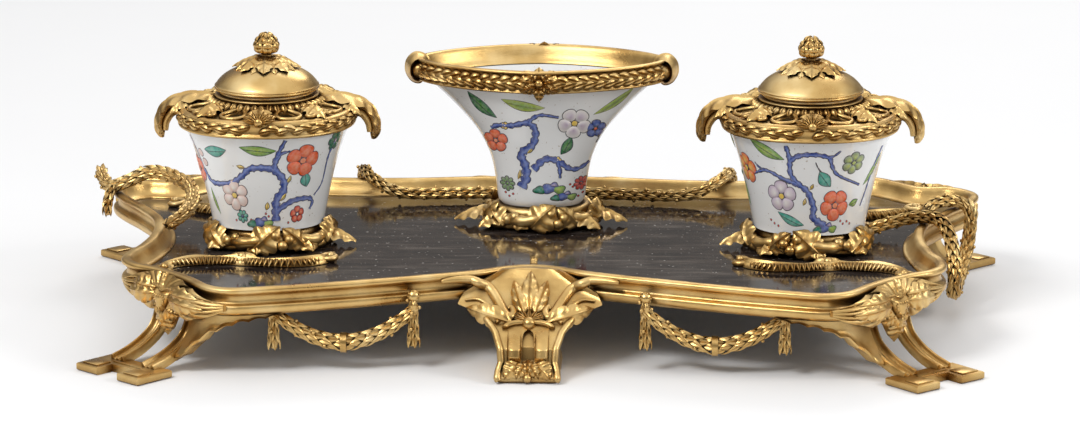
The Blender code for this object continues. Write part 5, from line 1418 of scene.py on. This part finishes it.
def collar_shells():
    """The collar: plain lower edge and laurel band, pierced shoulder with moulded rims and scrolls
    round the openings, flutes round the neck, leaves between the openings, two leafy hooks, and a
    small fan at the front and back."""
    band = smooth_through([(0.0345, 0.0802), (0.0360, 0.0800), (0.0364, 0.0808), (0.0358, 0.0816),
                           (0.0355, 0.0828), (0.0355, 0.0846), (0.0358, 0.0856), (0.0352, 0.0866),
                           (0.0340, 0.0870), (0.0328, 0.0866), (0.0322, 0.0850), (0.0322, 0.0814),
                           (0.0345, 0.0813)], 3, closed=True)
    neck = smooth_through([(bore_radius, 0.0878), (bore_radius, 0.0921), (0.0190, neck_top),
                           (0.0207, 0.0921), (0.0213, 0.0916), (0.0209, 0.0909), (0.0205, 0.0904),
                           (0.0205, 0.0893), (0.0214, 0.0888), (0.0218, 0.0880), (0.0208, 0.0874),
                           (0.0190, 0.0874)], 3, closed=True)
    shells = [skin(turned_ring(band, 128, cup_corners), looped=True), skin(turned_ring(neck), looped=True)]
    shells += pierced_sectors()
    turn = full_turn(40)
    out, across = opening_edge(turn, 1.06)
    for middle_angle in opening_angles:
        rim = shoulder_point(opening_middle + out, middle_angle + across / opening_middle, 0.0004)
        shells.append(tube_shell(rim, 0.0009, sides=8, closed=True))
        for turned in (-1, 1):
            eye = shoulder_point(np.array([0.0318]), np.array([middle_angle + turned * 0.255]), 0.0012)[0]
            outwards = polar(1.0, middle_angle, 0.0)
            sideways = np.array((-outwards[1], outwards[0], 0.0))
            shells.append(spiral_shell(eye, outwards * -1, sideways * turned, 0.0024, 1.4, 0.0008, 0.4))
    ribs = np.arange(48) * math.pi / 24
    start, tip = shoulder_point(0.0214, ribs, 0.0014), shoulder_point(0.0250, ribs, 0.0001)
    shells.append(leaf_shells(start, tip, (0, 0, 1.0), 0.0026, 0.10, 0, 7, 0.0009, 3))
    spots = np.arange(8) * math.pi / 4
    start, tip = shoulder_point(0.0232, spots, 0.0012), shoulder_point(shoulder_edge, spots, 0.0006)
    shells.append(leaf_shells(start, tip, (0, 0, 1.0), 0.0104, 0.10, 4, 34, 0.0013, 7))
    shells.append(ball_shells(shoulder_point(0.0236, spots, 0.0016), 0.0012, 7, 10))
    count = 34
    for height, lean in ((0.0824, 0.0016), (0.0850, -0.0014)):
        angle = np.linspace(-math.pi / 2, math.pi * 1.5, count, endpoint=False) + (0.09 if lean < 0 else 0)
        ahead = angle + np.where(np.cos(angle) >= 0, 1.0, -1.0) * 0.165
        start = polar(laurel_radius * cornered(angle), angle, height)
        tip = polar(laurel_radius * cornered(ahead) + 0.0005, ahead, height + lean)
        out = polar(1.0, angle, 0.0)
        shells.append(leaf_shells(start, tip, out, 0.0032, 0.07, rows=8, thickness=0.0009, columns=3))
    for turned in (-1, 1):
        spine = [(turned * x, 0.0, z) for x, z in hook_spine]
        shells.append(curling_leaf(spine, hook_widths, (0.0, -float(turned), 0.0), 0.0020, 7))
        under = smooth_through([(turned * x, 0.0, z) for x, z in hook_stem], 8)
        shells.append(tube_shell(under, np.linspace(0.0024, 0.0014, len(under)), (0, 1, 0), 12))
        for aside in (-1, 1):
            start = np.array((turned * 0.0300, aside * 0.0030, 0.0884))
            tip = np.array((turned * 0.0392, aside * 0.0092, 0.0848))
            shells.append(leaf_shells(start, tip, (0, 0, 1.0), 0.0075, 0.12, 4, 30, 0.0012, 6))
    for flip in (1, -1):
        root = np.array((0.0, -0.0350 * flip, 0.0866))
        fan = [root + (0.0068 * math.sin(a), -0.0008 * flip, 0.0050 * math.cos(a) + 0.0004)
               for a in np.linspace(-1.45, 1.45, 9)]
        shells.append(leaf_shells([root] * 9, fan, (0, -flip, 0.35), 0.0023, 0.12, rows=9, thickness=0.0010))
        shells.append(ball_shells([root + (0, -0.0008 * flip, 0.0002)], 0.0021))
    return shells


for word, side in left_and_right:
    cast("pierced_collar_" + word, shifted(collar_shells(), (side * ink_x, ink_y, 0.0)), "collar_" + word)

# Ink liners and lids: a thin gilt pan hangs in each collar by its flange and lifts out to be
# filled. The lid is a turned dome with a leaf cap and a bud for the fingers.
liner_bottom = 0.0461
liner_top = 0.0935
liner_radius = 0.0173
liner_wall = 0.0008
flange_low = 0.0925
lid_low = 0.0938
lid_top = 0.1040
cap_top = 0.1070
bud_top = 0.1172
# Scale leaves of the bud, row by row: count, phase, drop of their feet and tips below the top,
# distances of feet and tips from the axis, width
scale_rows = ((7, 0.0, 0.0086, 0.0050, 0.0028, 0.0049, 0.0046),
              (7, 0.45, 0.0068, 0.0034, 0.0042, 0.0042, 0.0046),
              (6, 0.2, 0.0050, 0.0016, 0.0040, 0.0028, 0.0040),
              (5, 0.6, 0.0030, 0.0002, 0.0026, 0.0010, 0.0030))


def at_level(level, rows):
    """A profile of (radius, height) whose heights are counted from a level."""
    return np.array(rows) + (0, level)


def turned_shell(profile, segments=96):
    """A profile of (radius, height) that begins and ends near the axis, turned and closed."""
    return skin(turned_ring(profile, segments))


def liner_finish():
    """Plain gilt metal, spun and a little stained by ink in cloudy patches."""
    made, nodes, link, shader = surface("liner_gilding")
    rings = noise(nodes, link, 60.0, 4.0, 0.6, (0.15, 0.15, 9.0))
    stains = noise(nodes, link, 90.0, 5.0)
    tone = ramp(nodes, link, rings, (0.3, (0.56, 0.40, 0.19)), (0.7, (0.72, 0.54, 0.28)))
    stained = spread(nodes, link, stains, 0.0, 0.7, 0.5, 0.75)
    link(blend(nodes, link, stained, tone, (0.16, 0.11, 0.07)), shader.inputs["Base Color"])
    link(spread(nodes, link, stains, 0.28, 0.46), shader.inputs["Roughness"])
    settle(shader, Metallic=1.0)
    grain(nodes, link, shader, rings, 0.10, 0.0003)
    return made


def lid_shells():
    """The lid: a low dome that runs out smoothly into its brim, hollow below, with its spigot."""
    dome = at_level(lid_top, [(0.00005, -0.0003), (0.0060, -0.0004), (0.0110, -0.0013), (0.0150, -0.0029),
                              (0.0180, -0.0048), (0.0200, -0.0068)])
    brim = at_level(lid_low, [(0.0209, 0.0022), (0.0214, 0.0017), (0.0212, 0.0012), (0.0215, 0.0008),
                              (0.0212, 0.0002), (0.0204, 0.0)])
    spigot = at_level(lid_low, [(0.0162, 0.0), (0.0162, -0.0011), (0.0149, -0.0011), (0.0149, 0.0010)])
    hollow = at_level(lid_top, [(0.0103, -0.0030), (0.00005, -0.0020)])
    outside = smooth_through(np.concatenate([dome, brim]), 4)
    return [turned_shell(np.concatenate([outside, spigot, hollow]))]


def leaf_cap_shells():
    """Eight veined leaves that lie on the dome and run up to the bud's foot, with eight narrow ones
    showing between them, over a turned cone."""
    cone = smooth_through([(0.00005, cap_top), (0.0022, cap_top - 0.0002), (0.0036, cap_top - 0.0013),
                           (0.0064, cap_top - 0.0024), (0.0086, lid_top - 0.0003),
                           (0.00005, lid_top - 0.0001)], 3)
    shells = [turned_shell(cone, 48)]
    for phase, length, width, lift in ((math.pi / 8, 0.0132, 0.0064, 0.0), (0.0, 0.0141, 0.0090, 0.0005)):
        out = polar(1.0, phase + full_turn(8), 0.0)
        start = out * 0.0024 + (0, 0, cap_top - 0.0004 + lift)
        tip = out * length + (0, 0, lid_top - 0.0019 + lift)
        shells.append(leaf_shells(start, tip, out * 0.25 + (0, 0, 1.0), width, 0.035, 4, 34, 0.0008, 7))
    return shells


def bud_shells():
    """The bud: a turned neck and a pointed body wrapped by four rows of scale leaves."""
    body = at_level(bud_top, [(0.00005, -0.0006), (0.0010, -0.0010), (0.0028, -0.0026), (0.0041, -0.0048),
                              (0.0042, -0.0066), (0.0030, -0.0084), (0.0022, -0.0092), (0.0024, -0.0099),
                              (0.0032, -0.0104), (0.0030, -0.0112), (0.00005, -0.0112)])
    shells = [turned_shell(smooth_through(body, 4), 40)]
    for count, phase, low, high, foot, head, width in scale_rows:
        out = polar(1.0, phase + full_turn(count), 0.0)
        start = out * foot + (0, 0, bud_top - low)
        tip = out * head + (0, 0, bud_top - high)
        shells.append(leaf_shells(start, tip, out, width, 0.14, 0, 10, 0.0007, 3))
    return shells


lined = liner_finish()
inner_radius = liner_radius - liner_wall
for word, side in left_and_right:
    at = (side * ink_x, ink_y, 0.0)
    pan = np.array([(0.00005, liner_bottom + liner_wall),
                    (inner_radius - 0.0006, liner_bottom + liner_wall),
                    (inner_radius, liner_bottom + liner_wall + 0.0006), (inner_radius, liner_top),
                    (0.0194, liner_top), (0.0196, liner_top - 0.0003), (0.0194, flange_low),
                    (liner_radius, flange_low), (liner_radius, liner_bottom + 0.0008),
                    (liner_radius - 0.0008, liner_bottom), (0.00005, liner_bottom)])
    for name, shells, finish, body, node, slot_name in (
            ("ink_pan", [turned_shell(pan)], lined, "liner", "liner", "liner_gilding"),
            ("domed_lid", lid_shells(), burnished_gilding, "lid", "lid", "gilt_bronze"),
            ("leaf_cap", leaf_cap_shells(), cast_gilding, "lid", "lid_leaves", "gilt_bronze"),
            ("bud", bud_shells(), cast_gilding, "lid", "finial", "gilt_bronze")):
        mesh = shell_mesh(f"{name}_{word}", shifted(shells, at))
        tie(mesh, finish, f"{body}_{word}", [f"{node}_{word}"])

# Centre vessel: an open porcelain vase on an oval foot that flares to a long pointed rim, painted
# like the cups.
vessel_height = 0.0530
rim_half_width = 0.0486
rim_half_depth = 0.0275
vessel_wall = 0.0026
vessel_floor = 0.0034
vessel_shares = np.array([
    (0.00, 0.350, 0.50, 2.3), (0.04, 0.375, 0.54, 2.3), (0.24, 0.405, 0.57, 2.2), (0.42, 0.460, 0.62, 2.1),
    (0.60, 0.570, 0.71, 1.9), (0.80, 0.765, 0.85, 1.7), (1.00, 1.000, 1.00, 1.6)])
vessel_curve = smooth_through(vessel_shares, 8)


def lozenge(angle, half_width, half_depth, power):
    """A ring between a lozenge (power 1), an ellipse (2) and a soft box: the cosine and the sine
    are raised to two over the power."""
    c, s = np.cos(angle), np.sin(angle)
    return (np.copysign(np.abs(c) ** (2 / power), c) * half_width,
            np.copysign(np.abs(s) ** (2 / power), s) * half_depth)


def vessel_skin(share, angle, inset=0.0):
    """A point on the vessel's wall at a share of its height, moved inwards by an inset."""
    width, depth, power = (np.interp(share, vessel_curve[:, 0], vessel_curve[:, k]) for k in (1, 2, 3))
    x, y = lozenge(angle, width * rim_half_width - inset, depth * rim_half_depth - inset, power)
    return np.stack([x, y + vessel_y, cup_bottom + share * vessel_height + 0 * x], axis=-1)


def vessel_shell():
    """The wall as rings: up the outside, over the rim, down the inside and across the floor."""
    angle = full_turn(160)
    hole = polar(bolt_hole, angle, cup_bottom) + (0, vessel_y, 0)
    up = np.linspace(0.0, 1.0, 36)
    rows = [hole] + [vessel_skin(share, angle) for share in up]
    for share in up[:0:-1]:
        rows.append(vessel_skin(max(share, vessel_floor / vessel_height), angle, vessel_wall))
    return skin(np.stack(rows + [hole + (0, 0, vessel_floor)]), looped=True)


def on_vessel(turned):
    """The wrap for the centre vessel: millimetres across and up its front or back; across is
    measured straight, so it becomes the angle at which the wall lies that far from the middle."""
    def wrap(across, up, layer):
        share = np.clip(up / (vessel_height * millimetres), *painted_band)
        width, power = (np.interp(share, vessel_curve[:, 0], vessel_curve[:, k]) for k in (1, 3))
        reach = np.clip(across / millimetres / (width * rim_half_width), -0.985, 0.985)
        angle = -np.arccos(np.sign(reach) * np.abs(reach) ** (power / 2))
        wall = vessel_skin(share, angle)
        wall[..., 1] -= layer * 1.3
        if turned:
            wall[..., 0] *= -1
            wall[..., 1] = 2 * vessel_y - wall[..., 1]
        return wall
    return wrap


def vessel_spray():
    """The spray of the centre vessel, in millimetres across and up its wall."""
    branches = (
        ([(-7.8, 8.5), (-5.9, 13), (-6.2, 18), (-7.8, 23.3), (-3.0, 27.6), (-1.9, 34), (-5.2, 37.2),
          (-11.6, 35.7), (-17.5, 35.2), (-20.5, 33.6)], 4.2, "blue", "pale_blue"),
        ([(-4.6, 37), (-3.8, 38.6), (0.4, 41), (7.8, 39.8)], 2.6, "blue", "pale_blue"),
        ([(-2.8, 16.6), (1.9, 21), (7.1, 20.3), (11.6, 16.8), (15.3, 16.0), (20.2, 18.0)],
         3.4, "blue", "pale_blue"),
        ([(7.6, 19.6), (8.1, 16), (8.2, 12.6)], 2.4, "blue", "pale_blue"),
        ([(21.5, 33), (24, 29), (23, 26)], 1.4, "line"))
    leaves = (
        (-24.6, 43.4, -42, 16.5, 5.0, "deep_green", "green"),
        (-7, 44.8, -10, 18.6, 4.6, "leaf_yellow", "green"),
        (11.2, 26.6, 60, 9, 4.6, "deep_green", "green"), (31, 44.4, 33, 20, 3.4, "leaf_yellow", "green"),
        (-8.6, 14.0, 78, 4.6, 1.6, "yellow"), (-4.0, 25.0, 50, 4.4, 2.0, "yellow", "leaf_yellow"))
    flowers = (
        (-18.6, 28.0, 5.4, "orange", "coral", 5, 0.4, "coral"), (-14.6, 35.4, 1.9, "yellow", "white"),
        (14.3, 36.8, 7.0, "white", "yellow", 5, 0.8, "lilac"), (7.2, 20.6, 1.7, "yellow", "white"),
        (22.8, 33.2, 4.4, "blue", "orange", 5, 0.2, "pale_blue"),
        (-13.8, 9.6, 3.4, "grey_green", "green", 8, 0.1, "green"), (16.8, 9.4, 3.2, "red", "red", 8, 0.1))
    dots = [(-13, 4.3), (-11.4, 5.4), (-14.6, 5.6), (12.3, 9.6), (13.4, 8.4), (15.6, 4.0), (17.4, 5.0)]
    return (painted_spray(branches, leaves, flowers, [(dots, 0.55, "red")]) + rocks(3.6, 8.2, 1.0)
            + rocks(9.5, 4.6, 0.8))


tie(shell_mesh("flared_vase", [vessel_shell()]), porcelain, "inkstand", ["vessel_centre"])
for turned, name in ((False, "front"), (True, "back")):
    mesh = painted_mesh("vase_spray_" + name, vessel_spray(), on_vessel(turned))
    tie(facing_out(mesh, (0.0, vessel_y)), enamel, "inkstand", [])

# Rim collar: a bronze rim pressed over the vase's edge. Laurel runs from an acanthus clasp at the
# front and back to curled leaves at the two points; inside it is plain.
rim_low = 0.0905
rim_high = 0.1003
end_spine = ((0.0468, 0.0978), (0.0492, 0.0996), (0.0520, 0.0998), (0.0540, 0.0976), (0.0544, 0.0944),
             (0.0532, 0.0914), (0.0512, 0.0902), (0.0500, 0.0912))
end_widths = (0.0020, 0.0080, 0.0120, 0.0132, 0.0120, 0.0090, 0.0060, 0.0030)


def rim_point(angle, grow, height):
    """A point on the rim's outline, moved outwards by grow."""
    x, y = lozenge(angle, rim_half_width + grow, rim_half_depth + grow, 1.6)
    return np.stack([x, y + vessel_y, height + 0 * x], axis=-1)


def even_rim(count):
    """Angles that step evenly along the rim's outline, so that leaves keep their size round it."""
    angle = full_turn(1200)
    ring = rim_point(angle, 0.003, 0.0)
    run = run_along(np.vstack([ring, ring[:1]]))
    return np.interp(np.linspace(0, run[-1], count, endpoint=False), run, np.append(angle, 2 * math.pi))


def rim_shells():
    """The rim's moulding, two rows of broad laurel that part at the clasps and meet at the points,
    berries between them, the clasps of acanthus and the smooth curled ends."""
    outside = at_level(rim_low, [(0.0004, 0.0), (0.0026, 0.0), (0.0035, 0.0006), (0.0030, 0.0013),
                                 (0.0027, 0.0028), (0.0028, 0.0060), (0.0032, 0.0080), (0.0042, 0.0086)])
    top = at_level(rim_high, [(0.0040, -0.0004), (0.0022, -0.0002), (0.0008, -0.0012)])
    inside = [(-0.0010, rim_low + 0.0044), (-0.0026, 0.0927), (0.0003, 0.0926)]
    section = smooth_through(np.concatenate([outside, top, inside]), 3, closed=True)
    angle = even_rim(260)
    shells = [skin(np.stack([rim_point(angle, grow, height) for grow, height in section]), looped=True)]
    count, fine_rim = 56, even_rim(720)
    for row, (height, lean) in enumerate(((rim_low + 0.0026, 0.0022), (rim_low + 0.0066, -0.0022))):
        spots = np.roll(even_rim(count * 2), -row)[::2]
        towards = np.where(np.cos(spots) >= 0, 1, -1) * np.where(np.sin(spots) >= 0, -1, 1)
        ahead = fine_rim[(np.searchsorted(fine_rim, spots % (2 * math.pi)) + towards * 18) % len(fine_rim)]
        start, tip = rim_point(spots, 0.0028, height), rim_point(ahead, 0.0036, height + lean)
        out = unit(rim_point(spots, 0.01, 0.0) - rim_point(spots, 0.0, 0.0))
        keep = np.abs(np.cos(spots)) < 0.997
        start, tip, out = start[keep], tip[keep], out[keep]
        shells.append(leaf_shells(start, tip, out, 0.0043, 0.10, rows=9, thickness=0.0011, columns=3))
    berries = even_rim(count)[::2] + 0.01
    shells.append(ball_shells(rim_point(berries, 0.0034, rim_low + 0.0046), 0.0009, 6, 8))
    for flip in (-1, 1):
        front = np.array((0.0, vessel_y + flip * (rim_half_depth + 0.0026), rim_low + 0.0046))
        out = np.array((0.0, float(flip), 0.15))
        for turned in (-1, 1):
            for dx, dy, dz, width in ((0.0108, -0.0012, 0.0012, 0.0084), (0.0078, -0.0003, -0.0042, 0.0062),
                                      (0.0062, -0.0006, 0.0052, 0.0058)):
                tip = front + (turned * dx, flip * dy, dz)
                shells.append(leaf_shells(front, tip, out, width, 0.14, 4, 32, 0.0013, 7))
        low_tip, high_tip = front + (0, -flip * 0.0006, -0.0080), front + (0, -flip * 0.0022, 0.0064)
        shells.append(leaf_shells(front, low_tip, out, 0.0062, 0.16, 3, 30, 0.0013, 7))
        shells.append(leaf_shells(front, high_tip, out, 0.0070, 0.20, 3, 30, 0.0012, 7))
        shells.append(ball_shells([front + (0, flip * 0.0012, 0)], 0.0019))
    for turned in (-1, 1):
        spine = [(turned * x, vessel_y, z) for x, z in end_spine]
        shells.append(curling_leaf(spine, end_widths, (0.0, -float(turned), 0.0), 0.0014, 0))
        along = np.linspace(-1, 1, 17)
        roll = np.column_stack([np.full(17, turned * 0.0508), vessel_y + 0.0060 * along, np.full(17, 0.0950)])
        shells.append(tube_shell(roll, 0.0040 * np.sqrt(1 - 0.85 * along ** 2), sides=20))
    return shells


cast("rim_collar", rim_shells(), "collar_centre")

# Bolts and nuts: plain iron under the board and inside the vessels, kept as the frame has them.


def iron_finish():
    """Dark iron with a thin brown bloom of rust."""
    made, nodes, link, shader = surface("bolt_iron")
    bloom = noise(nodes, link, 400.0, 5.0)
    tone = ramp(nodes, link, bloom, (0.40, (0.15, 0.145, 0.14)), (0.62, (0.23, 0.17, 0.13)))
    link(tone, shader.inputs["Base Color"])
    link(spread(nodes, link, bloom, 0.42, 0.68), shader.inputs["Roughness"])
    settle(shader, Metallic=1.0)
    grain(nodes, link, shader, bloom, 0.2, 0.0002)
    return made


iron = iron_finish()
for word in ("left", "right", "centre"):
    for kind in ("bolt", "nut"):
        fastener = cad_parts[f"{kind}_{word}"]
        fastener.data.materials.clear()
        fastener.data.materials.append(iron)

# Table and surround: a plain pale floor that fades into a white background, and a grey wall round
# it that only reflections see, so that polished metal and lacquer have something dark to show.
floor_half = 6.0
floor_drop = 0.0002
surround_radius = 1.25
surround_low = 0.02
surround_high = 1.15


def floor_finish():
    """Matt white that keeps the object's shadow: what the shadow leaves of the light is shown."""
    made, nodes, link, shader = surface("pale_floor")
    settle(shader, Roughness=0.9, Specular_IOR_Level=0.0)
    mottled = noise(nodes, link, 8.0, 2.0)
    tone = ramp(nodes, link, mottled, (0.0, (0.90, 0.90, 0.905)), (1.0, (0.92, 0.92, 0.925)))
    link(tone, shader.inputs["Base Color"])
    return made


corners = np.array([(-1, -1, 0), (1, -1, 0), (1, 1, 0), (-1, 1, 0)]) * floor_half
floor_mesh = bpy.data.meshes.new("table_top")
floor_mesh.from_pydata((corners - (0, 0, floor_drop)).tolist(), [], [(0, 1, 2, 3)])
floor_mesh.materials.append(floor_finish())
floor = place_object("table_top", floor_mesh)

levels = np.linspace(surround_low, surround_high, 5)[:, None]
wall_points, wall_faces = skin(polar(surround_radius, full_turn(64), levels), capped=False)
wall_mesh = bpy.data.meshes.new("surround")
wall_mesh.from_pydata(wall_points.tolist(), [], wall_faces)
wall_finish = bpy.data.materials.new("surround_grey")
wall_finish.use_nodes = True
wall_nodes, wall_link = wall_finish.node_tree.nodes, wall_finish.node_tree.links.new
wall_nodes.remove(wall_nodes["Principled BSDF"])
glow = wall_nodes.new("ShaderNodeEmission")
place = wall_nodes.new("ShaderNodeTexCoord")
split = wall_nodes.new("ShaderNodeSeparateXYZ")
wall_link(place.outputs["Object"], split.inputs[0])
level = spread(wall_nodes, wall_link, split.outputs["Z"], 0.0, 1.0, surround_low, surround_high)
tone = ramp(wall_nodes, wall_link, level, (0.0, (0.24, 0.23, 0.22)), (0.40, (0.20, 0.19, 0.18)),
            (1.0, (0.80, 0.80, 0.80)))
wall_link(tone, glow.inputs["Color"])
wall_link(glow.outputs[0], wall_nodes["Material Output"].inputs["Surface"])
wall_mesh.materials.append(wall_finish)
wall = place_object("surround", wall_mesh)
wall.visible_camera = False
wall.visible_diffuse = False
wall.visible_shadow = False
wall.visible_transmission = False

world = bpy.data.worlds.new("white_studio")
bpy.context.scene.world = world
world.use_nodes = True
world_nodes, world_link = world.node_tree.nodes, world.node_tree.links.new
sky = world_nodes["Background"]
rays = world_nodes.new("ShaderNodeLightPath")
seen = larger(world_nodes, world_link, rays.outputs["Is Camera Ray"], rays.outputs["Is Glossy Ray"])
seen = larger(world_nodes, world_link, seen, rays.outputs["Is Transmission Ray"])
world_link(spread(world_nodes, world_link, seen, 0.62, 1.0, 0.0, 1.0), sky.inputs["Strength"])
settle(sky, Color=(1.0, 1.0, 1.0, 1.0))

# Lamps: a large soft box above the left front, a smaller one at the right, and one behind.
lamps = (("key_box", (-0.75, -0.85, 1.15), 0.55, 11.0), ("side_box", (1.05, -0.35, 0.65), 0.40, 4.0),
         ("back_box", (0.25, 1.05, 0.95), 0.60, 3.5))
lamp_aim = Vector((0.0, 0.0, 0.05))
lamp_aspect = 0.7
for name, stand, size, power in lamps:
    lamp = bpy.data.lights.new(name, "AREA")
    lamp.shape = "RECTANGLE"
    lamp.size = size
    lamp.size_y = size * lamp_aspect
    lamp.energy = power
    holder = place_object(name, lamp)
    holder.location = stand
    holder.rotation_euler = (lamp_aim - Vector(stand)).to_track_quat("-Z", "Y").to_euler()

# Camera: where the photograph was taken from, a long lens a little above the inkstand.
pitch = math.radians(13.2)
yaw = math.radians(2.2)
camera_distance = 1.76
camera_target = Vector((0.0025, -0.0436, 0.050))
camera_data = bpy.data.cameras.new("photo_camera")
camera_data.sensor_width = 36.0
camera_data.sensor_fit = "HORIZONTAL"
camera_data.lens = 146.67
turned_by = Matrix.Rotation(yaw, 3, "Z")
forward = turned_by @ Vector((0.0, math.cos(pitch), -math.sin(pitch)))
rightwards = turned_by @ Vector((1.0, 0.0, 0.0))
upwards = rightwards.cross(forward)
camera = place_object("photo_camera", camera_data)
axes = Matrix((rightwards, upwards, -forward)).transposed()
camera.matrix_world = Matrix.Translation(camera_target - forward * camera_distance) @ axes.to_4x4()
bpy.context.scene.camera = camera
bpy.context.scene.view_settings.view_transform = "Standard"
